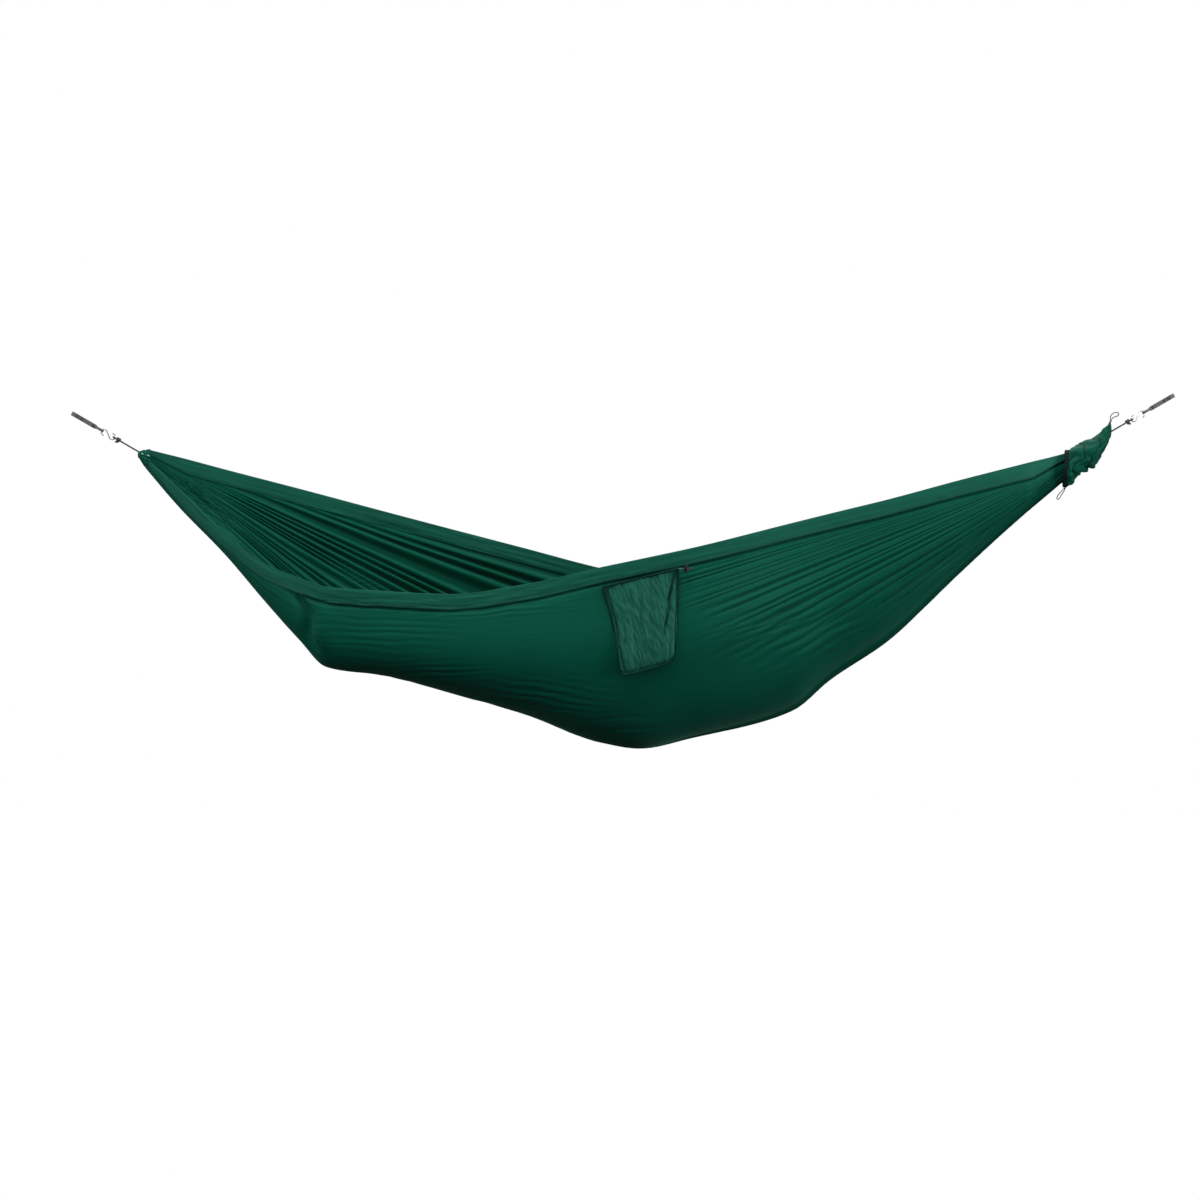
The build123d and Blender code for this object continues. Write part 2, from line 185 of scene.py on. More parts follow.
def skin(name, points, material, uv=None, wrap=False, caps=False, flip=False, marks=None, ring=False):
    """Mesh piece from an (m, n, 3) grid, with quads between its rows.

    wrap joins the last column to the first, ring the last row to the first, and caps close both ends with a
    fan. uv is an (m, n, 2) grid in metres of cloth. marks are named (m, n) grids kept as vertex attributes,
    and a mark that is the same everywhere may be given as one number.
    """
    m, n = points.shape[:2]
    rows, cols = np.arange(m if ring else m - 1), np.arange(n if wrap else n - 1)
    i, j = crossings(rows, cols)
    after_i, k = (i + 1) % m, (j + 1) % n
    quads = np.stack([i * n + j, after_i * n + j, after_i * n + k, i * n + k], -1).reshape(-1, 4)
    spots = points.reshape(-1, 3)
    fans = np.zeros((0, 3), int)
    if caps:
        first, last = m * n, m * n + 1
        spots = np.vstack([spots, points[0].mean(0), points[-1].mean(0)])
        edge, after = np.arange(n), (np.arange(n) + 1) % n
        start = np.stack([np.full(n, first), edge, after], -1)
        end = np.stack([np.full(n, last), (m - 1) * n + after, (m - 1) * n + edge], -1)
        fans = np.vstack([start, end])
    if wrap and (caps or ring):
        a, b, c, d = (spots[quads[:, q]] - spots.mean(0) for q in range(4))
        flip = (a * np.cross(b, c)).sum() + (a * np.cross(c, d)).sum() < 0
    if flip:
        quads, fans = quads[:, ::-1], fans[:, ::-1]
    corners = np.concatenate([quads.ravel(), fans.ravel()]).astype(np.int32)
    sizes = np.concatenate([np.full(len(quads), 4), np.full(len(fans), 3)])
    mesh = bpy.data.meshes.new(name)
    mesh.vertices.add(len(spots))
    mesh.vertices.foreach_set("co", spots.astype(np.float32).ravel())
    mesh.loops.add(len(corners))
    mesh.loops.foreach_set("vertex_index", corners)
    mesh.polygons.add(len(sizes))
    mesh.polygons.foreach_set("loop_start", (np.cumsum(sizes) - sizes).astype(np.int32))
    mesh.update(calc_edges=True)
    mesh.polygons.foreach_set("use_smooth", np.ones(len(sizes), bool))
    if uv is not None:
        flat = uv.reshape(-1, 2)
        if caps:
            flat = np.vstack([flat, uv[0].mean(0), uv[-1].mean(0)])
        layer = mesh.uv_layers.new(name="cloth")
        loop_uv = flat[corners]
        if wrap:
            turn = uv[0, -1, 1] + (uv[0, -1, 1] - uv[0, -2, 1])
            seam = np.tile([True, True, False, False] if flip else [False, False, True, True], len(quads))
            last_column = np.repeat(j.ravel() == n - 1, 4)
            loop_uv[:len(seam), 1] = np.where(seam & last_column, turn, loop_uv[:len(seam), 1])
        layer.data.foreach_set("uv", loop_uv.astype(np.float32).ravel())
    for label, values in (marks or {}).items():
        values = np.broadcast_to(values, (m, n))
        held = values.ravel()
        if caps:
            held = np.concatenate([held, [values[0].mean(), values[-1].mean()]])
        attribute = mesh.attributes.new(label, "FLOAT", "POINT")
        attribute.data.foreach_set("value", held.astype(np.float32))
    mesh.validate()
    piece = bpy.data.objects.new(name, mesh)
    bpy.context.scene.collection.objects.link(piece)
    mesh.materials.append(material)
    return piece


def join_pieces(name, parts):
    """One piece made of several meshes that share its material."""
    context = {"active_object": parts[0], "selected_editable_objects": parts, "object": parts[0]}
    with bpy.context.temp_override(**context):
        bpy.ops.object.join()
    parts[0].name = parts[0].data.name = name
    return parts[0]


def at_left(points):
    """Points drawn along +X turned into the left end's line of pull."""
    c, s = math.cos(PULL_ANGLE), math.sin(PULL_ANGLE)
    p = np.asarray(points, float)
    return np.stack([c * p[..., 0] + s * p[..., 2], p[..., 1], -s * p[..., 0] + c * p[..., 2]], -1)


def at_right(points):
    """Points drawn along +X mirrored into the right end's line of pull."""
    return at_left(points) * [-1, 1, 1] + ANCHOR_RIGHT


ENDS = {"left": at_left, "right": at_right}


def spline_line(name, route):
    """Points of the smooth spline that has a route's points, in millimetres, as its control points."""
    curve = bpy.data.curves.new(name, "CURVE")
    curve.dimensions = "3D"
    curve.resolution_u = 12
    spline = curve.splines.new("NURBS")
    spline.points.add(len(route) - 1)
    for point, place in zip(spline.points, route):
        point.co = (*(np.array(place) * MM), 1)
    spline.order_u = 3
    spline.use_endpoint_u = True
    holder = bpy.data.objects.new(name, curve)
    bpy.context.scene.collection.objects.link(holder)
    traced = bpy.data.meshes.new_from_object(holder)
    line = np.zeros(len(traced.vertices) * 3)
    traced.vertices.foreach_get("co", line)
    bpy.data.objects.remove(holder)
    bpy.data.curves.remove(curve)
    bpy.data.meshes.remove(traced)
    return line.reshape(-1, 3)


def respaced(line, step):
    """The same line with points an equal run apart."""
    run = run_along(line)
    marks = np.linspace(0, run[-1], max(3, int(run[-1] / step) + 1))
    return np.column_stack([np.interp(marks, run, line[:, k]) for k in range(3)])


def carried_axes(line):
    """Two cross directions along a line, each carried on from the last with the least turning."""
    ahead = np.gradient(line, axis=0)
    ahead /= np.linalg.norm(ahead, axis=1)[:, None]
    side = np.zeros_like(line)
    start = np.array([0, 1, 0]) if abs(ahead[0, 1]) < 0.9 else np.array([1, 0, 0])
    side[0] = start - ahead[0] * (start @ ahead[0])
    for k in range(1, len(line)):
        side[k] = side[k - 1] - ahead[k] * (side[k - 1] @ ahead[k])
        side[k] /= np.linalg.norm(side[k])
    side /= np.linalg.norm(side, axis=1)[:, None]
    return side, np.cross(ahead, side)


def rings(line, size, turn):
    """Rings round a line: size times the cosine and the sine of the turn along its two cross directions."""
    side, other = carried_axes(line)
    return (line[:, None] + side[:, None] * (size * np.cos(turn))[..., None]
            + other[:, None] * (size * np.sin(turn))[..., None])


CUT_END = 0.8


def braided(line, radius, around=20, strands=8, lift=0.07, pitch=9.0):
    """Braided round cord: a ring at each point of the line, raised where one of two crossing sets of
    strands runs. Its height is 1 + lift times the greater of two sine waves that wind opposite ways.
    """
    along, turn = crossings(run_along(line), circle(around))
    wound = strands / 2
    one = np.sin(wound * turn + along / (pitch * radius) * TAU)
    two = np.sin(wound * turn - along / (pitch * radius) * TAU)
    ring = radius * (1 - lift / 2 + lift * np.maximum(one, two))
    ring[0], ring[-1] = ring[0] * CUT_END, ring[-1] * CUT_END
    return rings(line, ring, turn), np.stack([along, turn * radius], -1)


# ------------------------------------------------------------------ materials


SHEEN_ROUGHNESS = 0.4
SHEEN_TINT = (0.30, 0.95, 0.70, 1)
NYLON_SHINE_TINT = (0.25, 1.0, 0.72, 1)


class Finish:
    """A material's nodes, made one after another, with the shader's own constants set on its sockets."""

    def __init__(self, name, colour, roughness, metallic=0.0, sheen=0.0, specular=0.5):
        """New material with one shader."""
        self.material = bpy.data.materials.new(name)
        self.material.use_nodes = True
        self.nodes, self.links = self.material.node_tree.nodes, self.material.node_tree.links
        self.shader = self.nodes["Principled BSDF"]
        values = {"Base Color": (*colour, 1), "Roughness": roughness, "Metallic": metallic,
                  "Sheen Weight": sheen, "Sheen Roughness": SHEEN_ROUGHNESS, "Sheen Tint": SHEEN_TINT,
                  "Specular IOR Level": specular}
        for socket, value in values.items():
            self.shader.inputs[socket].default_value = value

    def node(self, kind, sockets=(), **values):
        """A node of a kind, its settings from values, its sockets linked or set."""
        made = self.nodes.new("ShaderNode" + kind)
        for key, value in values.items():
            setattr(made, key, value)
        for key, value in dict(sockets).items():
            if isinstance(value, bpy.types.NodeSocket):
                self.links.new(value, made.inputs[key])
            else:
                made.inputs[key].default_value = value
        return made

    def place(self, scale, turn=(0, 0, 0), cloth=False):
        """Object coordinates in metres, or the piece's cloth map, scaled and turned by a Mapping node."""
        source = self.node("UVMap", uv_map="cloth").outputs[0] if cloth else (
            self.node("TexCoord").outputs["Object"])
        return self.node("Mapping", {"Vector": source, "Scale": scale, "Rotation": turn}).outputs[0]

    def noise(self, where, detail=3.0, rough=0.55, distort=0.0):
        """Cloudy noise between 0 and 1."""
        return self.node("TexNoise", {"Vector": where, "Scale": 1.0, "Detail": detail, "Roughness": rough,
                                      "Distortion": distort}).outputs["Fac"]

    def bars(self, where, scale, distort):
        """Soft bars side by side along the first direction."""
        return self.node("TexWave", {"Vector": where, "Scale": scale, "Distortion": distort},
                         bands_direction="X").outputs["Fac"]

    def weave(self, where):
        """Plain weave: the greater of two crossing sets of round threads."""
        bars = [self.node("TexWave", {"Vector": where, "Scale": 1.0, "Distortion": 0.4, "Detail": 1.0},
                          bands_direction=way).outputs["Fac"] for way in ("X", "Y")]
        return self.math("MAXIMUM", *bars)

    def math(self, operation, a, b=0.0, clamp=False):
        """Result of an operation on two values."""
        return self.node("Math", {0: a, 1: b}, operation=operation, use_clamp=clamp).outputs[0]

    def ramp(self, value, low, high, start=0.0, end=1.0):
        """Value carried from one range to another."""
        return self.node("MapRange", {"Value": value, "From Min": start, "From Max": end, "To Min": low,
                                      "To Max": high}).outputs[0]

    def blend(self, share, one, two):
        """Colour between two, by a share."""
        made = self.nodes.new("ShaderNodeMix")
        made.data_type = "RGBA"
        self.links.new(share, made.inputs["Factor"])
        for socket, value in ((made.inputs[6], one), (made.inputs[7], two)):
            if isinstance(value, bpy.types.NodeSocket):
                self.links.new(value, socket)
            else:
                socket.default_value = (*value, 1)
        return made.outputs[2]

    def colour(self, value):
        """Base colour from a value."""
        self.links.new(value, self.shader.inputs["Base Color"])

    def roughness(self, value):
        """Roughness from a value."""
        self.links.new(value, self.shader.inputs["Roughness"])

    def bumps(self, *layers):
        """Heights laid over each other, each with its strength and the height in metres it stands for."""
        normal = None
        for height, strength, distance in layers:
            sockets = {"Height": height, "Strength": strength, "Distance": distance}
            if normal is not None:
                sockets["Normal"] = normal
            normal = self.node("Bump", sockets).outputs[0]
        self.links.new(normal, self.shader.inputs["Normal"])
        return self.material


def nylon(name, fresh, deep, roughness=0.5, sheen=0.10, crinkle=0.5, threads=1400.0):
    """Parachute nylon: fine plain weave, crinkles drawn out along the cloth, colour darkened in the fold
    valleys as painted shade.
    """
    made = Finish(name, fresh, roughness, sheen=sheen, specular=0.22)
    made.shader.inputs["Specular Tint"].default_value = NYLON_SHINE_TINT
    cloth = made.place((1, 1, 1), cloth=True)
    patches = made.noise(made.place((2.2, 5.0, 1), cloth=True), 4.0, 0.6)
    creases = made.noise(made.place((5.0, 46.0, 1), cloth=True), 3.0, 0.6, 0.6)
    fine = made.noise(made.place((26.0, 150.0, 1), cloth=True), 3.0, 0.65, 0.4)
    # The fold mark is painted shade: it darkens the colour in the pleat valleys, creases and seams, over
    # random darker patches.
    fold = made.node("Attribute", attribute_name="fold").outputs["Fac"]
    crush = made.node("Attribute", attribute_name="crush").outputs["Fac"]
    patch_shade = made.ramp(patches, -0.25, 0.3, 0.3, 0.7)
    fold_shade = made.math("MULTIPLY", fold, 0.75)
    shade = made.math("ADD", patch_shade, fold_shade, True)
    made.colour(made.blend(shade, fresh, deep))
    made.roughness(made.ramp(creases, roughness - 0.07, roughness + 0.1))
    threads_at = made.node("VectorMath", {0: cloth, "Scale": threads}, operation="SCALE").outputs[0]
    crease_height = made.math("MULTIPLY", creases, crush)
    fine_height = made.math("MULTIPLY", fine, crush)
    return made.bumps((crease_height, crinkle, 0.006), (fine_height, crinkle, 0.002),
                      (made.weave(threads_at), 0.12, 0.0001))


# Each *_DEEP colour is what its cloth is darkened to by painted shade in the fold valleys, and also the
# tone of its random darker patches.
GREEN = (0.0016, 0.084, 0.051)
GREEN_DEEP = (0.0003, 0.038, 0.021)
# BAND_GREEN is lighter than GREEN: partly painted light on the rim band that faces up into the lamps,
# partly the doubled cloth's own tone.
BAND_GREEN = (0.007, 0.092, 0.060)
BAND_DEEP = (0.002, 0.048, 0.030)
POCKET_GREEN = (0.014, 0.112, 0.074)
POCKET_DEEP = (0.0015, 0.028, 0.017)
# Hem and piping green is near black: painted shade, standing for the shadow line along the pocket's mouth
# and round its outline.
HEM_SHADOW_GREEN = (0.0006, 0.022, 0.014)
HEM_SHADOW_DEEP = (0.0002, 0.006, 0.004)
SLEEVE_GREEN = (0.0008, 0.066, 0.039)
SLEEVE_DEEP = (0.0002, 0.022, 0.011)

cloth_green = nylon("green_nylon", GREEN, GREEN_DEEP)
band_green = nylon("band_nylon", BAND_GREEN, BAND_DEEP, roughness=0.55, crinkle=0.6)
pocket_green = nylon("pocket_nylon", POCKET_GREEN, POCKET_DEEP, roughness=0.55, crinkle=0.8)
hem_green = nylon("hem_nylon", HEM_SHADOW_GREEN, HEM_SHADOW_DEEP, roughness=0.6, crinkle=0.6)
sleeve_green = nylon("sleeve_nylon", SLEEVE_GREEN, SLEEVE_DEEP, roughness=0.5, crinkle=0.9)


def elastic_finish():
    """Near-black elastic: ribs round the cuff over a fine knit."""
    made = Finish("elastic_cuff", (0.001, 0.010, 0.007), 0.7, sheen=0.04, specular=0.12)
    where = made.place((1, 1, 1), cloth=True)
    ribs = made.bars(where, 250.0, 0.6)
    wear = made.noise(made.place((60, 30, 1), cloth=True), 4.0)
    made.colour(made.blend(made.ramp(wear, 0, 1, 0.35, 0.7), (0.0008, 0.006, 0.004), (0.002, 0.022, 0.014)))
    return made.bumps((ribs, 0.6, 0.0006), (wear, 0.4, 0.0006))


def webbing_finish():
    """Polyester webbing: a herringbone of raised ribs, worn paler along its crowns."""
    made = Finish("webbing", (0.055, 0.057, 0.060), 0.72, sheen=0.35, specular=0.3)
    ribs, cross = (made.bars(made.place((1, 1, 1), (0, 0, lean), cloth=True), 330.0, 0.5)
                   for lean in (0.9, -0.9))
    threads = made.math("MAXIMUM", ribs, cross)
    fuzz = made.noise(made.place((700, 700, 1), cloth=True), 4.0)
    worn = made.math("MULTIPLY", threads, fuzz)
    made.colour(made.blend(worn, (0.085, 0.088, 0.092), (0.27, 0.275, 0.28)))
    return made.bumps((threads, 0.8, 0.0005), (fuzz, 0.3, 0.0002))


def braid_finish(name, dark, pale, roughness=0.65):
    """Braided cord: thread-fine grooves along each strand, dust-pale on the crowns."""
    made = Finish(name, dark, roughness, sheen=0.3, specular=0.35)
    grooves = made.bars(made.place((1, 1, 1), (0, 0, 0.5), cloth=True), 900.0, 0.8)
    dust = made.noise(made.place((500, 500, 1), cloth=True), 3.0)
    made.colour(made.blend(made.math("MULTIPLY", grooves, dust), dark, pale))
    return made.bumps((grooves, 0.5, 0.0003))


def thread_finish(name, colour, pale):
    """Bonded sewing thread, slightly shiny, its colour uneven from stitch to stitch."""
    made = Finish(name, colour, 0.5, sheen=0.2, specular=0.4)
    uneven = made.noise(made.place((260, 260, 260)), 2.0)
    made.colour(made.blend(uneven, colour, pale))
    return made.bumps((uneven, 0.3, 0.0002))


def steel_finish(name, scale):
    """Bright plated wire: faint drawing lines and a little handling wear in its shine."""
    made = Finish(name, (0.86, 0.87, 0.88), 0.2, metallic=1.0)
    lines = made.noise(made.place(scale, (0, PULL_ANGLE, 0)), 4.0, 0.7)
    wear = made.noise(made.place((90, 90, 90)), 3.0)
    made.colour(made.blend(made.ramp(wear, 0, 1, 0.4, 0.75), (0.90, 0.91, 0.92), (0.72, 0.73, 0.75)))
    made.roughness(made.ramp(wear, 0.14, 0.32))
    return made.bumps((lines, 0.08, 0.0002))


def plastic_finish():
    """Moulded black plastic with a fine spark-eroded grain, rubbed smoother in patches."""
    made = Finish("black_plastic", (0.004, 0.004, 0.0045), 0.38, specular=0.25)
    grain = made.noise(made.place((2500, 2500, 2500)), 2.0)
    rubbed = made.noise(made.place((120, 120, 120)), 3.0)
    shade = made.ramp(rubbed, 0, 1, 0.4, 0.7)
    made.colour(made.blend(shade, (0.003, 0.003, 0.0035), (0.009, 0.009, 0.010)))
    made.roughness(made.ramp(rubbed, 0.28, 0.48))
    return made.bumps((grain, 0.25, 0.0002))


elastic = elastic_finish()
webbing = webbing_finish()
cord_grey = braid_finish("suspension_cord", (0.040, 0.041, 0.043), (0.12, 0.12, 0.125))
cord_green_grey = braid_finish("drawcord", (0.10, 0.12, 0.115), (0.26, 0.29, 0.28))
cord_black = braid_finish("loop_cord", (0.012, 0.016, 0.014), (0.06, 0.07, 0.065))
tack_thread = thread_finish("bar_tack_thread", (0.035, 0.036, 0.038), (0.09, 0.09, 0.095))
seam_thread = thread_finish("seam_thread", (0.006, 0.060, 0.040), (0.020, 0.120, 0.085))
pale_thread = thread_finish("pale_thread", (0.30, 0.52, 0.44), (0.50, 0.72, 0.62))
bright_steel = steel_finish("hook_steel", (900, 900, 40))
spring_steel = steel_finish("spring_steel", (400, 400, 400))
black_plastic = plastic_finish()

# ------------------------------------------------------------------ camera, light and floor

VIEW_X, VIEW_Z = 1.449, -0.5106
VIEW_WIDTH, VIEW_DISTANCE, SENSOR = 3.312, 30.0, 36
WORLD_LEVELS = {"From Min": -0.25, "From Max": 0.55, "To Min": 0.02, "To Max": 0.95}
# Each lamp: where it stands, what it faces, how wide it is and its watts.
LAMPS = {
    "key": ((0.8, -3.4, 3.6), (1.5, 0.0, -0.5), 3.0, 64.0),
    "top": ((1.6, 0.6, 3.2), (1.5, 0.0, -0.5), 3.4, 46.0),
    "fill": ((-3.2, -3.0, 0.6), (0.6, 0.0, -0.4), 2.4, 50.0),
    "low": ((5.8, -1.8, -0.3), (2.4, 0.0, -0.35), 1.8, 90.0),
}
FLOOR_DROP, FLOOR_REACH = 0.5, 14.0


def build_stage():
    """Level camera far in front, a world brighter above than below, four lamps, a floor that fades out."""
    scene = bpy.context.scene
    scene.view_settings.view_transform = "Standard"
    camera = bpy.data.cameras.new("camera")
    camera.sensor_width = SENSOR
    camera.lens = SENSOR * VIEW_DISTANCE / VIEW_WIDTH
    camera.clip_end = 200
    holder = bpy.data.objects.new("camera", camera)
    holder.location = (VIEW_X, -VIEW_DISTANCE, VIEW_Z)
    holder.rotation_euler = (math.pi / 2, 0, 0)
    scene.collection.objects.link(holder)
    scene.camera = holder

    world = bpy.data.worlds.new("studio")
    scene.world = world
    world.use_nodes = True
    nodes, links = world.node_tree.nodes, world.node_tree.links
    background = nodes["Background"]
    where = nodes.new("ShaderNodeTexCoord")
    height = nodes.new("ShaderNodeSeparateXYZ")
    links.new(where.outputs["Generated"], height.inputs[0])
    level = nodes.new("ShaderNodeMapRange")
    for socket, value in WORLD_LEVELS.items():
        level.inputs[socket].default_value = value
    links.new(height.outputs["Z"], level.inputs["Value"])
    seen = nodes.new("ShaderNodeLightPath")
    pick = nodes.new("ShaderNodeMix")
    pick.data_type = "FLOAT"
    links.new(seen.outputs["Is Camera Ray"], pick.inputs["Factor"])
    links.new(level.outputs[0], pick.inputs[2])
    pick.inputs[3].default_value = 1.0
    background.inputs["Color"].default_value = (1, 1, 1, 1)
    links.new(pick.outputs[0], background.inputs["Strength"])

    for name, (place, target, size, power) in LAMPS.items():
        light = bpy.data.lights.new(name, "AREA")
        light.size, light.energy = size, power
        lamp = bpy.data.objects.new(name, light)
        lamp.location = place
        lamp.rotation_euler = (Vector(target) - Vector(place)).to_track_quat("-Z", "Y").to_euler()
        scene.collection.objects.link(lamp)

    floor_level = cad_low.z - FLOOR_DROP
    middle = (cad_low + cad_high) / 2
    ring, angle = crossings(np.linspace(0.01, FLOOR_REACH, 24), np.linspace(0, TAU, 97))
    disc = np.stack([middle.x + ring * np.cos(angle), middle.y + ring * np.sin(angle),
                     np.full(ring.shape, floor_level)], -1)
    made = Finish("floor", (0.9, 0.9, 0.9), 0.9, specular=0.1)
    made.shader.inputs["Emission Color"].default_value = (1, 1, 1, 1)
    made.shader.inputs["Emission Strength"].default_value = 0.45
    centred = made.node("VectorMath", {0: made.node("TexCoord").outputs["Object"],
                                       1: (middle.x, middle.y, floor_level)}, operation="DISTANCE")
    faded = made.ramp(centred.outputs["Value"], 1.0, 0.0, 2.0, 0.9 * FLOOR_REACH)
    made.links.new(faded, made.shader.inputs["Alpha"])
    floor = skin("floor", disc, made.material)
    floor.visible_diffuse = False
    floor.visible_glossy = False


build_stage()

# ------------------------------------------------------------------ the loaded sheet


def section_lines(x):
    """Rim to rim lines of the sheet at each x: a quarter of a superellipse each side of the keel."""
    knots = STATIONS[:, 0]
    near_y, near_z, keel_y, keel_z, far_y, far_z = (monotone(x, knots, STATIONS[:, k]) for k in range(1, 7))
    turn = np.linspace(0, math.pi / 2, 90)
    out = np.sin(turn) ** (2 / SECTION_POWER)
    up = 1 - np.cos(turn) ** (2 / SECTION_POWER)

    def side(rim_y, rim_z):
        """Keel to rim by sine and by one less cosine of the turn, to the power of 2 over SECTION_POWER."""
        return np.stack([keel_y[:, None] + (rim_y - keel_y)[:, None] * out,
                         keel_z[:, None] + (rim_z - keel_z)[:, None] * up], -1)

    return np.concatenate([side(near_y, near_z)[:, ::-1], side(far_y, far_z)[:, 1:]], 1)


def at_runs(x, lines, runs):
    """Points at given runs from the near rim, as shares of each line's length, and the lengths."""
    pieces = np.linalg.norm(np.diff(lines, axis=1), axis=2)
    along = np.concatenate([np.zeros((len(x), 1)), np.cumsum(pieces, 1)], 1)
    girth = along[:, -1]
    marks = runs(girth)
    points = np.empty((*marks.shape, 3))
    points[..., 0] = x[:, None]
    for row in range(len(x)):
        points[row, :, 1] = np.interp(marks[row], along[row], lines[row, :, 0])
        points[row, :, 2] = np.interp(marks[row], along[row], lines[row, :, 1])
    return points, girth, marks


def spaced_rows(count, start, stop):
    """Places along x, closer together at both gathers and round the foot corner."""
    fine = np.linspace(start, stop, 4000)
    weight = (1 + 2.2 * bell(fine - start, 0.10) + 1.6 * bell(fine - stop, 0.12)
              + 2.6 * bell(fine - 0.63, 0.07))
    run = np.concatenate([[0], np.cumsum((weight[1:] + weight[:-1]) / 2)])
    return np.interp(np.linspace(0, run[-1], count), run, fine)


def band_height(girth):
    """How far a band reaches down from its rim, less where the sheet is gathered narrow."""
    return np.minimum(BAND_HEIGHT, BAND_SHARE * girth)


PLEATS_LEFT = 46
PLEATS_RIGHT = 50


def pleat_phase(count, x, v, seed):
    """Turns through the pleats across the cloth, each pleat a little wider or narrower than the next."""
    drift = 0.45 * rolling(x, v, 0.9, 0.11, seed)
    uneven = 0.55 * np.sin(TAU * (2.7 * v + 0.2 * seed)) + 0.34 * np.sin(TAU * (7.3 * v + 0.37 * seed))
    return count * v + uneven + 0.22 * np.sin(TAU * (15.1 * v + 0.1 * seed)) + drift


def pleat_wave(turns, sharp):
    """Depth of a pleat from 0 on its crown to 1 in its valley: half of 1 + cosine, raised to a power."""
    return (0.5 + 0.5 * np.cos(TAU * turns)) ** sharp


def sheet_folds(x, v, girth):
    """Depth of the folds in metres, outwards from the sheet, with how deep in a valley and how crushed each
    point is. Depth is pleat spacing times a share that depends on the place along and across.
    """
    spacing = girth / PLEATS_LEFT
    tight_left = np.exp(-(x - STATIONS[0, 0]) / 0.17)
    tight_right = np.exp(-(STATIONS[-1, 0] - x) / 0.22)
    far = rise(v, 0.47, 0.12)
    near = 1 - rise(v, 0.24, 0.10)
    under = (1 - far) * (1 - near)
    strength = 1.0 + 0.35 * rolling(v, x, 0.021, 0.8, 11)

    left_part = fall(x, 1.80, 0.5)
    far_share = 0.10 * rise(x, 1.2, 0.4)
    left_share = (far * far_share * left_part + under * 0.50 * fall(x, 0.62, 0.25)
                  + near * 0.035 * fall(x, 0.60, 0.1) + tight_left * (0.55 - 0.35 * near))

    drawn = smooth_step((x - 1.75 - 1.2 * np.clip(v - 0.06, 0, 0.5)) / 0.30)
    right_share = (far * 0.58 * (1 - left_part) + under * drawn * (0.09 + 0.16 * rise(x, 2.3, 0.4))
                   + 0.45 * tight_right * (1 - near))

    limit = 0.95 * spacing
    wave_left = pleat_wave(pleat_phase(PLEATS_LEFT, x, v, 1), 1.15)
    wave_right = pleat_wave(pleat_phase(PLEATS_RIGHT, x, v, 2), np.where(v < 0.42, 3.2, 1.15))
    left = np.minimum(left_share * strength * spacing, limit) * (wave_left - 0.5)
    right_middle = np.where(v < 0.42, 0.3, 0.5)
    right = np.minimum(right_share * strength * spacing, limit) * (wave_right - right_middle)
    depth = left * (2 * rise(v, 0.30, 0.08) - 1) + right * (2 * rise(v, 0.44, 0.08) - 1)

    loose = rise(x, 0.70, 0.2) * fall(x, 2.2, 0.4)
    drag = 0.10 + 0.90 * np.clip(right_share * 2 + left_share, 0, 1)
    depth += (0.0016 * rolling(x, v, 0.30, 0.026, 21) + 0.0009 * rolling(x, v, 0.12, 0.011, 22)) * drag
    depth += 0.005 * rolling(x, v, 0.42, 0.20, 23) * loose
    depth += 0.013 * bell(v - 0.16, 0.085) * loose
    # valleys: the share of pleat valley at each point, kept as the fold mark that darkens the cloth colour
    # as painted shade.
    valleys = np.clip(left_share, 0, 1) * wave_left + np.clip(right_share * 2.4, 0, 1) * wave_right
    crush = (0.10 + 0.5 * drag) * (0.3 + 0.7 * rise(x, 0.20, 0.35))
    return depth, np.clip(valleys, 0, 1), crush


# Where each wall's rays start, in x and z, and how they are counted: turns over slope, or slope per ray.
RAY_START = np.array([2.801, -0.113])
RAY_COUNT = 7.6
FAR_RAY_START = np.array([0.195, -0.098])
FAR_RAY_STEP = 0.038


def ray_folds(points, v):
    """Valleys that fan over the near wall as straight rays from the right gather. A ray's slope is its drop
    over its reach; turns are the count over the slope, so the rays lie closer together towards the rim.
    """
    x, z = points[..., 0], points[..., 2]
    reach = np.maximum(RAY_START[0] - x, 0.02)
    slope = np.clip((RAY_START[1] - z) / reach, 0.14, 1.4)
    uneven = (0.22 * np.sin(9.1 / slope) + 0.16 * np.sin(23.0 / slope + 1)
              + 0.16 * rolling(1 / slope, x, 0.30, 0.6, 8))
    spacing = np.minimum(reach * slope ** 2 / RAY_COUNT, 0.021)
    long = 0.10 * rolling(1 / slope, 0 * x, 0.16, 9.0, 9)
    shown = ((1 - rise(v, 0.34, 0.10)) * smooth_step((x - 1.60 - long) / 0.22)
             * smooth_step((z + 0.590 + 0.3 * long) / 0.085))
    valley = pleat_wave(RAY_COUNT / slope + uneven, 3.4 + 4.0 * rise(slope, 0.40, 0.3))
    strength = 1.0 + 0.6 * rolling(1 / slope, x, 0.19, 0.7, 10)
    depth = -0.34 * strength * spacing * (valley - 0.25) * shown
    return depth, valley * shown


def far_ray_folds(points, v):
    """Pleats of the far wall as straight rays from the left gather, one for each equal step of slope."""
    x, z = points[..., 0], points[..., 2]
    reach = np.maximum(x - FAR_RAY_START[0], 0.03)
    slope = np.clip((FAR_RAY_START[1] - z) / reach, 0.1, 2.2)
    turns = slope / FAR_RAY_STEP
    uneven = (0.30 * np.sin(0.83 * turns) + 0.20 * np.sin(1.9 * turns + 1)
              + 0.30 * rolling(turns, x, 2.3, 0.45, 13))
    spacing = np.minimum(reach * FAR_RAY_STEP, 0.036)
    shown = rise(v, 0.57, 0.09) * fall(x, 1.85, 0.5) * rise(reach, 0.03, 0.12)
    strength = 1.0 + 0.55 * rolling(turns, x, 1.3, 0.6, 14)
    valley = pleat_wave(turns + uneven, 1.7)
    return 0.62 * strength * spacing * (valley - 0.4) * shown, valley * shown


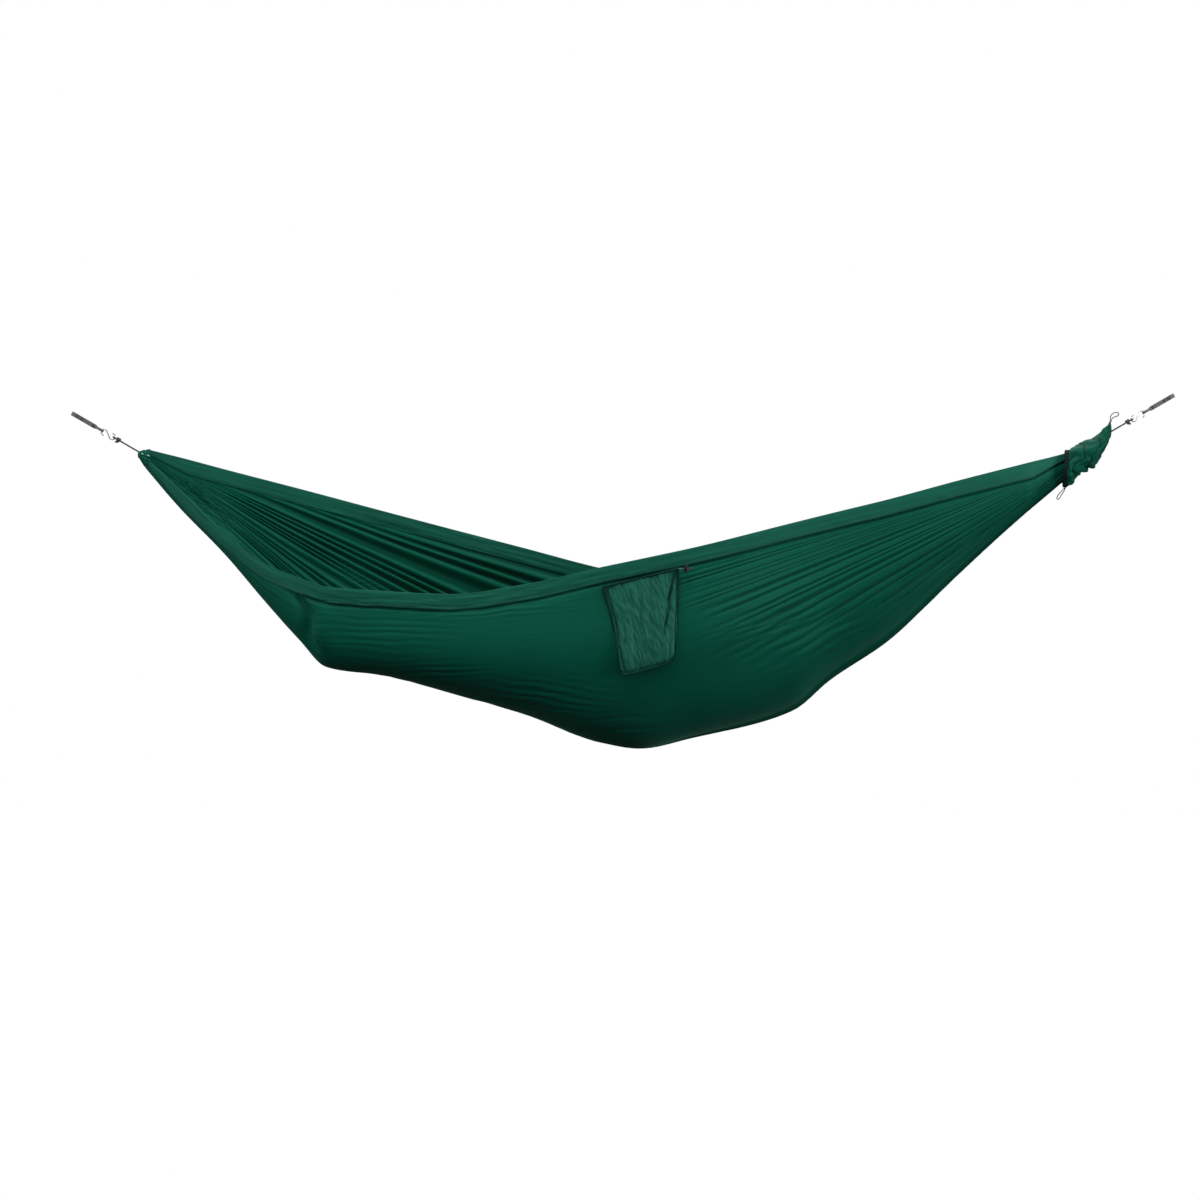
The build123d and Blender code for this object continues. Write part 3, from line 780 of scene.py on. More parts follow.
def foot_crease(points, v):
    """Corner fold at the foot: a narrow valley down the near wall with a soft ridge on its right."""
    x, z = points[..., 0], points[..., 2]
    line = 0.602 + (-0.44 - z) * 0.30 + 0.008 * np.sin((z + 0.44) * 45)
    d = x - line
    wall = (1 - rise(v, 0.26, 0.08)) * fall(z, -0.455, 0.03) * rise(z, -0.685, 0.10)
    return wall * (0.009 * bell(d - 0.050, 0.030) - 0.020 * bell(d - 0.006, 0.013))


# Each patch of short folds: middle x and z, half width, half height, lean, gap between folds, their height.
WRINKLE_PATCHES = (
    (1.27, -0.775, 0.17, 0.050, -0.17, 0.021, 0.0018),
    (0.98, -0.705, 0.11, 0.030, 0.05, 0.016, 0.0018),
    (0.86, -0.60, 0.17, 0.060, -0.04, 0.019, 0.0007),
    (1.10, -0.53, 0.20, 0.022, 0.10, 0.013, 0.0014),
    (1.52, -0.86, 0.12, 0.030, 0.03, 0.023, 0.0016),
    (2.02, -0.60, 0.22, 0.080, 0.62, 0.034, 0.0024),
)


def belly_wrinkles(points):
    """Short drag folds under the seat and at the foot corner, narrow ridges inside soft oval patches."""
    x, z = points[..., 0], points[..., 2]
    made = np.zeros(x.shape)
    for cx, cz, wide, tall, lean, gap, height in WRINKLE_PATCHES:
        patch = np.exp(-((x - cx) / wide) ** 2 - ((z - cz) / tall) ** 2)
        across = (z - cz) - lean * (x - cx)
        wobble = 0.35 * rolling(x, z, 0.08, 0.02, int(cx * 100))
        made += height * patch * (1 - 2 * pleat_wave(across / gap + wobble, 1.8))
    return made


def body_panel():
    """The main cloth: section lines from band to band, moved along their normals by the folds."""
    x = spaced_rows(BODY_ROWS, STATIONS[0, 0] - SHEET_OVERLAP, STATIONS[-1, 0] + SHEET_OVERLAP)
    share = np.linspace(0, 1, BODY_COLUMNS)

    def runs(girth):
        """Runs from the near rim: from a little inside one band to a little inside the other."""
        band = band_height(girth)[:, None] * (1 - BAND_TUCK)
        return band + (girth[:, None] - 2 * band) * share

    points, girth, marks = at_runs(x, section_lines(x), runs)
    v = marks / girth[:, None]
    grid_x = np.broadcast_to(x[:, None], v.shape)
    depth, valleys, crush = sheet_folds(grid_x, v, girth[:, None])
    below = marks - band_height(girth)[:, None]
    above = girth[:, None] - band_height(girth)[:, None] - marks
    edge = smooth_step(below / 0.03) * smooth_step(above / 0.03)
    outwards = -surface_normals(points)
    rays, ray_valleys = ray_folds(points, v)
    far_rays, far_valleys = far_ray_folds(points, v)
    near_side = (belly_wrinkles(points) + foot_crease(points, v)) * (v < 0.5)
    depth = (depth + rays + far_rays) * (0.25 + 0.75 * edge) + near_side
    gutter = bell(below - 0.003, 0.006) * rise(grid_x, 0.58, 0.10)
    depth -= 0.0060 * gutter
    # The fold mark gathers pleat and ray valleys and the gutter: painted shade in the valleys and a painted
    # shade line just below the band's edge.
    valleys = np.clip(valleys + 0.8 * (ray_valleys + far_valleys) + 1.2 * gutter, 0, 1)
    points = points + outwards * depth[..., None]
    along = run_along(points[:, BODY_COLUMNS // 2])
    uv = np.stack([np.broadcast_to(along[:, None], v.shape), v * CLOTH_WIDTH], -1)
    piece = skin("body_panel_cloth", points, cloth_green, uv, flip=True,
                 marks={"fold": valleys, "crush": crush})
    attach(piece, "hammock")
    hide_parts("body_panel")


def edge_band(side):
    """Doubled strip folded over a rim: up its outer face, over, and down inside, with puckered edges."""
    x = spaced_rows(BAND_ROWS, STATIONS[0, 0] - SHEET_OVERLAP, STATIONS[-1, 0] + SHEET_OVERLAP)
    share = np.linspace(0, 1, 15)

    def runs(girth):
        """Runs from the near rim to each of the band's columns, counted from the band's own rim."""
        down = band_height(girth)[:, None] * share
        return down if side == "near" else girth[:, None] - down

    points, girth, marks = at_runs(x, section_lines(x), runs)
    outwards = -surface_normals(points)
    if side == "far":
        outwards = -outwards
    grid_x = np.broadcast_to(x[:, None], marks.shape)
    tall = band_height(girth)[:, None]
    thick = BAND_PROUD * np.minimum(1, tall / 0.02) * (0.35 + 0.65 * np.sqrt(np.clip(share, 0, 1)))
    seed = 31 if side == "near" else 41
    pucker = rolling(grid_x, share + 0 * grid_x, 0.030, 0.5, seed) * share
    foot_end = rise(x, 0.62, 0.15)[:, None] * fall(x, 1.5, 0.25)[:, None]
    streaks = rolling(grid_x, share + 0 * grid_x, 0.11, 0.16, seed + 1)
    lines = rolling(grid_x, share + 0 * grid_x, 0.045, 0.10, seed + 2)
    ripple = 0.0010 * pucker + 0.0010 * streaks + (0.0016 * lines + 0.0012 * streaks) * foot_end * share
    ripple = ripple * np.minimum(1, tall / 0.03)
    outer = points + outwards * (thick + ripple)[..., None]
    inner = points - outwards * (thick - ripple * 0.7)[..., None]
    rim = points[:, :1] + (points[:, :1] - points[:, 1:2]) * 0.25
    cloth = np.concatenate([inner[:, ::-1], rim, outer], 1)
    width = np.concatenate([-share[::-1] - 0.05, [0], share + 0.05]) * BAND_HEIGHT
    along = run_along(points[:, 0])
    uv = np.stack(np.broadcast_arrays(along[:, None], width[None]), -1)
    # fold darkens both faces towards the band's lower edges: painted shade where the band meets the panel.
    fold = np.abs(np.concatenate([share[::-1], [0], share]))[None] ** 6 * 0.8
    marks_held = {"fold": np.broadcast_to(fold, cloth.shape[:2]),
                  "crush": np.broadcast_to(0.45 + 0.4 * foot_end, cloth.shape[:2])}
    piece = skin(f"{side}_edge_band_cloth", cloth, band_green, uv, flip=(side == "far"), marks=marks_held)
    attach(piece, "hammock")
    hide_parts(f"{side}_edge_band")
    return outer, outwards


def stitch_row(name, line, out, pitch, length, radius, material, body):
    """Row of thread stitches along a line: each a short spindle, tapered to the cloth at both ends."""
    run = run_along(line)
    starts = np.arange(pitch / 2, run[-1] - pitch, pitch)
    along = np.linspace(0, 1, 4)
    marks = starts[:, None] + along[None] * length
    centre = np.stack([np.interp(marks, run, line[:, k]) for k in range(3)], -1)
    lift = np.stack([np.interp(marks, run, out[:, k]) for k in range(3)], -1)
    ahead = centre[:, -1:] - centre[:, :1]
    ahead = ahead / np.linalg.norm(ahead, axis=2, keepdims=True)
    aside = np.cross(ahead, lift)
    size = radius * np.sin(np.pi * (0.12 + 0.76 * along))[None, :, None, None]
    angle = circle(4)
    ring = (centre[:, :, None] + (aside[:, :, None] * np.cos(angle)[:, None]
            + lift[:, :, None] * (0.9 * np.sin(angle)[:, None] + 0.25)) * size)
    count = len(starts)
    spots = ring.reshape(-1, 3)
    a, b = crossings(np.arange(3), np.arange(4))
    c = (b + 1) % 4
    quads = np.stack([a * 4 + b, (a + 1) * 4 + b, (a + 1) * 4 + c, a * 4 + c], -1).reshape(-1, 4)
    ends = np.array([[0, 1, 2, 3], [15, 14, 13, 12]])
    faces = (np.vstack([quads, ends])[None] + 16 * np.arange(count)[:, None, None]).reshape(-1, 4)
    mesh = bpy.data.meshes.new(name)
    mesh.from_pydata(spots.tolist(), [], faces.tolist())
    mesh.polygons.foreach_set("use_smooth", np.ones(len(faces), bool))
    mesh.materials.append(material)
    piece = bpy.data.objects.new(name, mesh)
    bpy.context.scene.collection.objects.link(piece)
    if body:
        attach(piece, body)
    return piece


# Stitches: spacing, length and radius of the thread.
BAND_STITCHES = (0.0042, 0.0031, 0.0006)
CHANNEL_STITCHES = (0.0042, 0.0032, 0.0007)
BAND_STITCH_COLUMNS = (12, 13)

body_panel()
for side in ("near", "far"):
    outer, outwards = edge_band(side)
    rows = [stitch_row(f"{side}_band_stitches_{n}", outer[:, column], outwards[:, column], *BAND_STITCHES,
                       seam_thread, None) for n, column in enumerate(BAND_STITCH_COLUMNS)]
    stitches = join_pieces(f"{side}_band_stitches", rows)
    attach(stitches, "hammock")

# ------------------------------------------------------------------ gathered ends

# Channels: x, centre height and half sizes (y, z) from the gathered tip to where the sheet begins.
CHANNELS = {
    "left": np.array([(177, -110, 9, 9.5), (190, -118, 17, 22), (205, -126, 21, 32)]) * MM,
    "right": np.array([(2847, -54.5, 8, 8.5), (2832, -76, 14, 17), (2815, -98, 17, 24)]) * MM,
}
CHANNEL_FOLDS = 17
CHANNEL_COLUMNS = 204
CHANNEL_SEAM = 0.62


def end_channel(side):
    """Bunched hem: ellipses grown from the tip, rippled by folds that deepen towards the sheet, its nose
    and its lip rounded in so that both ends close.
    """
    knots = np.array([0.0, 0.46, 1.0])
    nose, body, lip = np.linspace(0.05, 1, 9)[:-1], np.linspace(0, 1, 34), np.linspace(0, 1, 7)[1:]
    share = np.concatenate([np.zeros(len(nose)), body, np.ones(len(lip))])
    x, z, wide, tall = (monotone(share, knots, CHANNELS[side][:, k]) for k in range(4))
    towards = np.sign(CHANNELS[side][-1, 0] - CHANNELS[side][0, 0])
    shrink = np.concatenate([np.sqrt(1 - (1 - nose) ** 2), np.ones(len(body)), 1 - 0.5 * lip ** 2])
    x[:len(nose)] -= towards * 0.004 * (1 - nose)
    x[-len(lip):] += towards * 0.004 * np.sin(lip * math.pi)
    s, turn = crossings(share, circle(CHANNEL_COLUMNS))
    uneven = 0.25 * rolling(s, turn, 0.5, 0.6, 51)
    fold = 0.5 + 0.5 * np.cos(CHANNEL_FOLDS * turn + TAU * uneven)
    depth = (0.06 + 0.16 * smooth_step(s * 1.4)) * np.where(shrink < 1, shrink, 1)[:, None]
    size = shrink[:, None] * (1.0 - depth * fold ** 2)
    seam = 1 - 0.07 * bell(s - CHANNEL_SEAM, 0.05)
    points = np.stack([np.broadcast_to(x[:, None], s.shape) + 0.0012 * np.sin(5 * turn + 1) * s,
                       wide[:, None] * size * seam * np.cos(turn),
                       z[:, None] + tall[:, None] * size * seam * np.sin(turn)], -1)
    uv = np.stack([s * 0.035, turn * 0.03], -1)
    # The fold mark, the square of the ruffle wave, darkens the ruffle valleys as painted shade.
    piece = skin(f"end_channel_{side}_cloth", points, cloth_green, uv, wrap=True, caps=True,
                 marks={"fold": fold ** 2, "crush": 0.5})
    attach(piece, "hammock")
    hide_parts(f"end_channel_{side}")
    column = np.arange(0, CHANNEL_COLUMNS, 3)
    row = len(nose) + int(CHANNEL_SEAM * len(body))
    ring = points[row, np.append(column, 0)]
    centre = np.array([x[row], 0, z[row]])
    out = ring - centre
    out /= np.linalg.norm(out, axis=1)[:, None]
    seam_line = respaced(ring, 0.002)
    thread = stitch_row(f"end_channel_{side}_stitches", seam_line, respaced_with(out, len(seam_line)),
                        *CHANNEL_STITCHES, pale_thread, "hammock")


def respaced_with(values, count):
    """Rows of values stretched over a new count of places."""
    old, new = np.linspace(0, 1, len(values)), np.linspace(0, 1, count)
    return np.column_stack([np.interp(new, old, values[:, k]) for k in range(values.shape[1])])


def satin_pad(name, place, a_axis, b_axis, out, size, ridges, height, material, body):
    """Bar tack: a pad that stands up from the cloth, ridged across by its threads."""
    a, b = crossings(np.linspace(-1, 1, 8 * ridges + 1), np.linspace(-1, 1, 13))
    swell = (1 - a ** 8) * (1 - b ** 8)
    rise = height * (swell * (0.65 + 0.35 * np.abs(np.cos(math.pi * ridges * a / 2))) - 0.3)
    points = (np.asarray(place, float) + a[..., None] * np.asarray(a_axis) * size[0] / 2
              + b[..., None] * np.asarray(b_axis) * size[1] / 2 + rise[..., None] * np.asarray(out))
    facing = np.cross(a_axis, b_axis) @ np.asarray(out) < 0
    piece = skin(name, points, material, flip=bool(facing))
    if body:
        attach(piece, body)
    return piece


def channel_tacks():
    """Two pale bar tacks on the near face of the left gather."""
    for number, (x, z, y) in enumerate(((0.1865, -0.1075, -0.0138), (0.2030, -0.1120, -0.0186)), 1):
        pad = satin_pad(f"gather_tack_{number}", (x, y, z), (0.8, -0.35, -0.45), (0.45, -0.25, 0.85),
                        (-0.25, -0.95, 0.05), (0.0065, 0.0038), 7, 0.0010, pale_thread, "hammock")


# ------------------------------------------------------------------ straps, hooks and suspension cords

WEB_WIDTH, WEB_EYE_WIDTH, WEB_THICK = 12 * MM, 7 * MM, 1.5 * MM
EYE_R, HOOK_EYE_X, EYE_TAPER = 9 * MM, 80.7 * MM, 1.3
TACK_PLACES = (22 * MM, 58 * MM)


def webbing_line():
    """Middle of the webbing as a closed loop: an arc round each eye, leaving it on the line to where the
    two legs meet, and straight legs between, eased at the corners.
    """
    radius, half = EYE_R + WEB_THICK / 2, WEB_THICK / 2
    tip = EYE_TAPER * EYE_R
    lean = math.atan2(half, tip) + math.acos(radius / math.hypot(tip, half))
    swing = np.linspace(lean, TAU - lean, 40)
    anchor = np.stack([radius * np.cos(swing), radius * np.sin(swing)], -1)
    hook = np.stack([HOOK_EYE_X - radius * np.cos(swing), -radius * np.sin(swing)], -1)
    far_tip = HOOK_EYE_X - tip
    loop = np.vstack([(far_tip / 2, half), (far_tip, half), hook[::-1], (far_tip, -half), (tip, -half),
                      anchor[::-1], (tip, half), (far_tip / 2, half)])
    loop = np.column_stack([loop, np.zeros(len(loop))])
    even = respaced(loop, 0.0005)[:-1]
    for _ in range(6):
        even = (np.roll(even, 1, 0) + 2 * even + np.roll(even, -1, 0)) / 4
    return even


def strap(side):
    """Doubled webbing: a flat section with rounded edges carried round both eyes, narrower at the hook."""
    line = webbing_line()
    ahead = np.roll(line, -1, 0) - np.roll(line, 1, 0)
    ahead /= np.linalg.norm(ahead, axis=1)[:, None]
    out = np.stack([ahead[:, 1], -ahead[:, 0], np.zeros(len(line))], -1)
    angle = (np.arange(28) + 0.5) / 28 * TAU
    narrow = rise(line[:, 0], 0.064, 0.008)
    width = WEB_WIDTH + (WEB_EYE_WIDTH - WEB_WIDTH) * narrow
    flat = signed_power(np.cos(angle), 0.30) / 2
    thick = signed_power(np.sin(angle), 0.55) * WEB_THICK * 0.47
    run = run_along(line)
    wave = 0.00012 * np.sin(run / 0.011 * TAU)[:, None]
    points = (line[:, None] + out[:, None] * (thick[None] + wave * 0.4)[..., None]
              + np.array([0, 0, 1.0]) * (flat[None] * width[:, None] + wave)[..., None])
    uv = np.stack(np.broadcast_arrays(run[:, None], (flat * WEB_WIDTH + 0.02)[None]), -1)
    piece = skin(f"strap_{side}_webbing", ENDS[side](points), webbing, uv, wrap=True, ring=True)
    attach(piece, "anchor_straps")
    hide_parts(f"strap_{side}")
    turned = ENDS[side](np.eye(3)) - ENDS[side](np.zeros((3, 3)))
    pads = []
    for x in TACK_PLACES:
        for face in (-1, 1):
            place = ENDS[side](np.array([x, face * WEB_THICK * 0.97, 0]))
            pads.append(satin_pad("pad", place, turned[0], turned[2], face * turned[1], (0.007, 0.010), 9,
                                  0.0007, tack_thread, None))
    tacks = join_pieces(f"strap_{side}_tack_threads", pads)
    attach(tacks, "anchor_straps")
    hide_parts(f"strap_{side}_bar_tacks")


CORD_R = 2.2 * MM
CORD_STEP = 0.4 * MM
CORD_EYE_ROUTE = [(136, 3.2, 0), (131, 5.3, 0), (125.5, 5.6, 0), (121.4, 3.4, 0),
                  (121.4, -3.4, 0), (125.5, -5.6, 0), (131, -5.3, 0), (136, -3.2, 0)]
SUSPENSION_ROUTE = [(144, 0, 0), (156, 0, 0), (190, 0, 0), (216, 0, 0), (228, 0, 0)]
KNOT_TAIL_ROUTE = [(140, 2, -3.2), (138.5, 1, -6.2), (135.5, 0, -8.2), (132.5, -0.5, -8.6)]


def suspension(side):
    """Cord eye round the hook, barrel knot wound round its legs, and the taut cord into the channel."""
    place = ENDS[side]
    eye_points, uv = braided(respaced(spline_line("eye", CORD_EYE_ROUTE), CORD_STEP), CORD_R)
    eye = skin(f"cord_eye_{side}_braid", place(eye_points), cord_grey, uv, wrap=True, caps=True)
    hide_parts(f"cord_eye_{side}")

    turns, pitch, wrap_r, start = 2.55, 4.15 * MM, 4.9 * MM, 132.9 * MM
    angle = np.linspace(0, turns * TAU, 190) - 0.4
    wound = np.stack([start + pitch * angle / TAU, wrap_r * np.cos(angle), wrap_r * np.sin(angle)], -1)
    coil_points, coil_uv = braided(wound, CORD_R)
    tail_points, tail_uv = braided(respaced(spline_line("tail", KNOT_TAIL_ROUTE), CORD_STEP), CORD_R * 0.95)
    parts = [skin("coil", place(coil_points), cord_grey, coil_uv, wrap=True, caps=True),
             skin("tail", place(tail_points), cord_grey, tail_uv, wrap=True, caps=True)]
    knot = join_pieces(f"knot_{side}_braid", parts)
    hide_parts(f"knot_{side}")

    line = respaced(spline_line("cord", SUSPENSION_ROUTE), CORD_STEP)
    cord_points, cord_uv = braided(line, CORD_R)
    cord = skin(f"suspension_cord_{side}_braid", place(cord_points), cord_grey, cord_uv, wrap=True,
                caps=True)
    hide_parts(f"suspension_cord_{side}")
    for piece in (eye, knot, cord):
        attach(piece, "hammock")
    place(line[0]).tolist()
    place(line).tolist()


# ------------------------------------------------------------------ pocket

# Pocket outline in x and z, millimetres, seen from the near side.
POCKET_LEFT = [(1453, -472), (1460, -499), (1474, -540), (1492, -626), (1503, -682), (1506, -694)]
POCKET_RIGHT = [(1664, -421), (1664, -480), (1661, -550), (1659, -610), (1657, -648)]
POCKET_FOOT = [(1506, -694), (1503, -718), (1528, -716), (1580, -702), (1626, -690), (1653, -676),
               (1657, -648)]
POCKET_BACK_Y, POCKET_DEPTH = -343 * MM, 16 * MM
HEM_R, HEM_DROP = 3 * MM, 4.5 * MM
MOUTH_START, MOUTH_END = np.array([1.458, -0.471]), np.array([1.664, -0.421])
MOUTH_ALONG = (MOUTH_END - MOUTH_START) / np.linalg.norm(MOUTH_END - MOUTH_START)
MOUTH_DOWN = np.array([MOUTH_ALONG[1], -MOUTH_ALONG[0]])


def edge_curve(name, route, count, drop=0.0):
    """One edge of the pocket as evenly spaced (x, z) points, its top moved down by drop."""
    line = spline_line(name, [(x, 0, z) for x, z in route])[:, (0, 2)]
    depth = (line - MOUTH_START) @ MOUTH_DOWN
    keep = depth >= drop - 1e-6
    line = line[keep] if keep.sum() > 3 else line
    run = run_along(line)
    marks = np.linspace(0, run[-1], count)
    return np.column_stack([np.interp(marks, run, line[:, k]) for k in range(2)])


def pocket_patch(rows, columns, drop):
    """Flat pocket shape between its four edges: both ruled blends added, less the blend of the corners."""
    left, right = edge_curve("left", POCKET_LEFT, rows, drop), edge_curve("right", POCKET_RIGHT, rows, drop)
    foot = edge_curve("foot", POCKET_FOOT, columns)
    foot[0], foot[-1] = left[-1], right[-1]
    t, u = crossings(np.linspace(0, 1, rows), np.linspace(0, 1, columns))
    t, u = t[..., None], u[..., None]
    mouth = left[0] + (right[0] - left[0]) * u
    ruled = (1 - t) * mouth + t * foot[None] + (1 - u) * left[:, None] + u * right[:, None]
    corners = ((1 - t) * mouth + t * (left[-1] + (right[-1] - left[-1]) * u))
    return ruled - corners, t[..., 0], u[..., 0]


def pocket_front():
    """Crinkled front: full in the middle, sewn down at sides and foot, two seam folds down each side."""
    flat, t, u = pocket_patch(150, 130, HEM_DROP + HEM_R * 0.6)
    full = (1 - np.abs(2 * u - 1) ** 5) * (1 - t ** 7)
    wide = 0.19
    left_a, left_b = (u - 0.020 - 0.060 * t) * wide, (u - 0.055 - 0.105 * t) * wide
    right_a, right_b = (1 - u - 0.020 - 0.060 * t) * wide, (1 - u - 0.045 - 0.38 * t + 0.10 * t * t) * wide
    wander = 0.0016 * rolling(t, u, 0.10, 5.0, 61)
    seams = (0.9 * bell(left_a + wander, 0.0040) + bell(left_b - wander, 0.0032)
             + 0.9 * bell(right_a + wander, 0.0036)
             + 1.6 * bell(right_b + 2 * wander, 0.0042) * fall(t, 0.75, 0.35))
    foot_seam = bell((1 - t) * 0.22 - 0.003, 0.0065)
    across, down = (u - 0.5) * wide, t * 0.22
    crinkle = (0.0024 * rolling(across + 0.12 * down, down, 0.0080, 0.045, 62)
               + 0.0018 * rolling(across - 0.20 * down, down, 0.0045, 0.016, 63)
               + 0.0040 * rolling(across + 0.15 * down, down, 0.024, 0.10, 64))
    sag = 0.0022 * np.sin(math.pi * u) * smooth_step(t / 0.2)
    depth = (POCKET_DEPTH - 4.2 * MM) * full - 0.0044 * seams * np.clip(full * 3, 0, 1) - 0.003 * foot_seam
    depth += (crinkle + sag) * np.clip(full * 1.5, 0, 1)
    points = np.stack([flat[..., 0], POCKET_BACK_Y - 1.5 * MM - np.maximum(depth, 0), flat[..., 1]], -1)
    uv = np.stack([t * 0.24, u * wide], -1)
    # fold darkens the seam folds, the foot seam, the flat edges and the crinkle hollows: painted shade.
    fold = np.clip(seams * 1.2 + foot_seam * 1.3 + 0.7 * (1 - np.clip(full * 4, 0, 1))
                   + 0.25 * np.clip(-crinkle / 0.003, 0, 1), 0, 1)
    piece = skin("pocket_front_cloth", points, pocket_green, uv, flip=True,
                 marks={"fold": fold, "crush": 0.9})
    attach(piece, "pocket")
    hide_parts("pocket_front_panel")


def pocket_back():
    """Back panel: nearly flat and a little in front of the sheet, with a faint wave that dies out towards
    the edges.
    """
    flat, t, u = pocket_patch(60, 60, 0.0)
    rim = np.minimum(np.minimum(u, 1 - u) * 0.19, np.minimum(t, 1 - t) * 0.24)
    wave = 0.0006 * rolling(u, t, 0.22, 0.2, 66) * smooth_step(rim / 0.02)
    points = np.stack([flat[..., 0], POCKET_BACK_Y - 0.8 * MM + wave, flat[..., 1]], -1)
    uv = np.stack([t * 0.24, u * 0.19], -1)
    # The fold mark darkens a thin line 6 mm inside the edge: painted shade of a turned-in edge.
    piece = skin("pocket_back_cloth", points, cloth_green, uv, flip=False,
                 marks={"fold": bell(rim - 0.006, 0.002), "crush": 0.4})
    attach(piece, "pocket")
    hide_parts("pocket_back_panel")


def rolled_tube(line, radius, around, gather, depth):
    """Cloth rolled round a line: rings whose size swells and shrinks along it as the gathers do."""
    along, turn = crossings(run_along(line), circle(around))
    wave = 0.5 + 0.5 * np.cos(along / gather * TAU + 1.2 * rolling(along, turn, gather * 3, 1.5, 71))
    size = radius * (1 - depth * wave)
    size[0], size[-1] = size[0] * 0.7, size[-1] * 0.7
    return rings(line, size, turn), np.stack([along, turn * radius], -1), wave


def hem_point(run):
    """Point of the hem's middle line, run metres from its left end."""
    across = POCKET_BACK_Y - POCKET_DEPTH + HEM_R
    spot = MOUTH_START + MOUTH_ALONG * run
    return np.array([spot[0], across, spot[1] - HEM_DROP])


def pocket_trim():
    """Gathered hem along the mouth, piping round the sewn edge, drawcord and its knot."""
    length = np.linalg.norm(MOUTH_END - MOUTH_START)
    line = np.array([hem_point(run) for run in np.linspace(-0.003, length, 420)])
    points, uv, wave = rolled_tube(line, HEM_R, 16, 0.0040, 0.22)
    # The hem's fold mark darkens its gather valleys and the whole hem: painted shade, over the near-black
    # hem colour that is itself painted shade.
    hem = skin("pocket_hem_cloth", points, hem_green, uv, wrap=True, caps=True,
               marks={"fold": 0.4 + 0.6 * wave, "crush": 0.6})
    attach(hem, "pocket")
    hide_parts("pocket_hem")

    outline = np.vstack([edge_curve("left", POCKET_LEFT, 80, 0.004),
                         edge_curve("foot", POCKET_FOOT, 80)[1:-1],
                         edge_curve("right", POCKET_RIGHT, 80, 0.004)[::-1]])
    inset = np.column_stack([outline[:, 0], np.full(len(outline), POCKET_BACK_Y - 2.3 * MM), outline[:, 1]])
    inset = respaced(inset, 0.0012)
    for _ in range(4):
        inset[1:-1] = (inset[:-2] + 2 * inset[1:-1] + inset[2:]) / 4
    centre = inset.mean(0)
    inset = inset + (centre - inset) / np.linalg.norm(inset - centre, axis=1)[:, None] * 1.2 * MM
    points, uv, wave = rolled_tube(inset, 1.9 * MM, 12, 0.0060, 0.18)
    # The piping's fold mark darkens its gather valleys: painted shade, over the same near-black colour that
    # stands for the shadow round the pocket's outline.
    piping = skin("pocket_piping", points, hem_green, uv, wrap=True, caps=True,
                  marks={"fold": 0.3 + 0.5 * wave, "crush": 0.5})
    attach(piping, "pocket")

    start, leave = hem_point(0.004), hem_point((1.667 - MOUTH_START[0]) / MOUTH_ALONG[0])
    end = np.array([1.6965, leave[1], leave[2]])
    inside = [start + (leave - start) * share for share in (0.25, 0.6, 0.88)]
    route = [start, *inside, leave, leave + (end - leave) * 0.4, end]
    cord_line = respaced(spline_line("drawcord", [point / MM for point in route]), CORD_STEP)
    points, uv = braided(cord_line, 1.5 * MM, around=16)
    drawcord = skin("pocket_drawcord_braid", points, cord_green_grey, uv, wrap=True, caps=True)
    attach(drawcord, "pocket")
    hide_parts("pocket_drawcord")

    angle = np.linspace(0, 2.2 * TAU, 110)
    knot_line = np.stack([end[0] + 0.4 * MM + 2.2 * MM * angle / TAU, end[1] + 1.9 * MM * np.cos(angle),
                          end[2] + 1.9 * MM * np.sin(angle)], -1)
    points, uv = braided(knot_line, 1.25 * MM, around=14)
    knot = skin("drawcord_knot_braid", points, cord_black, uv, wrap=True, caps=True)
    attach(knot, "pocket")
    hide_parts("drawcord_knot")


# ------------------------------------------------------------------ sleeve over the right end

SLEEVE = np.array([(2741, -148, 44, 52), (2775, -122, 45, 46), (2812, -101, 42, 42), (2835, -73, 32, 34),
                   (2857, -41, 17, 25)]) * MM
SLEEVE_CORD_R = 1.25 * MM
SLEEVE_NECK_ROUTE = [
    (2857, 0, -20), (2857, -1, -10), (2859, -3, -1), (2865, -3, 5), (2873, -3, 8), (2880, -1, 6),
    (2881, 2, 0), (2875, 4, -4), (2867, 4, -6), (2861, 2, -11), (2859, 1, -20),
]
CUFF_TAIL_ROUTE = [
    (2732, -3, -198.5), (2731, -3, -202), (2726, -7, -206), (2719, -9, -214), (2712, -8, -222),
    (2709, -4, -230), (2713, 0, -234), (2719, 2, -227), (2724, 2, -218), (2730, 1, -210),
    (2733, 0, -202), (2734, 0, -198.5),
]


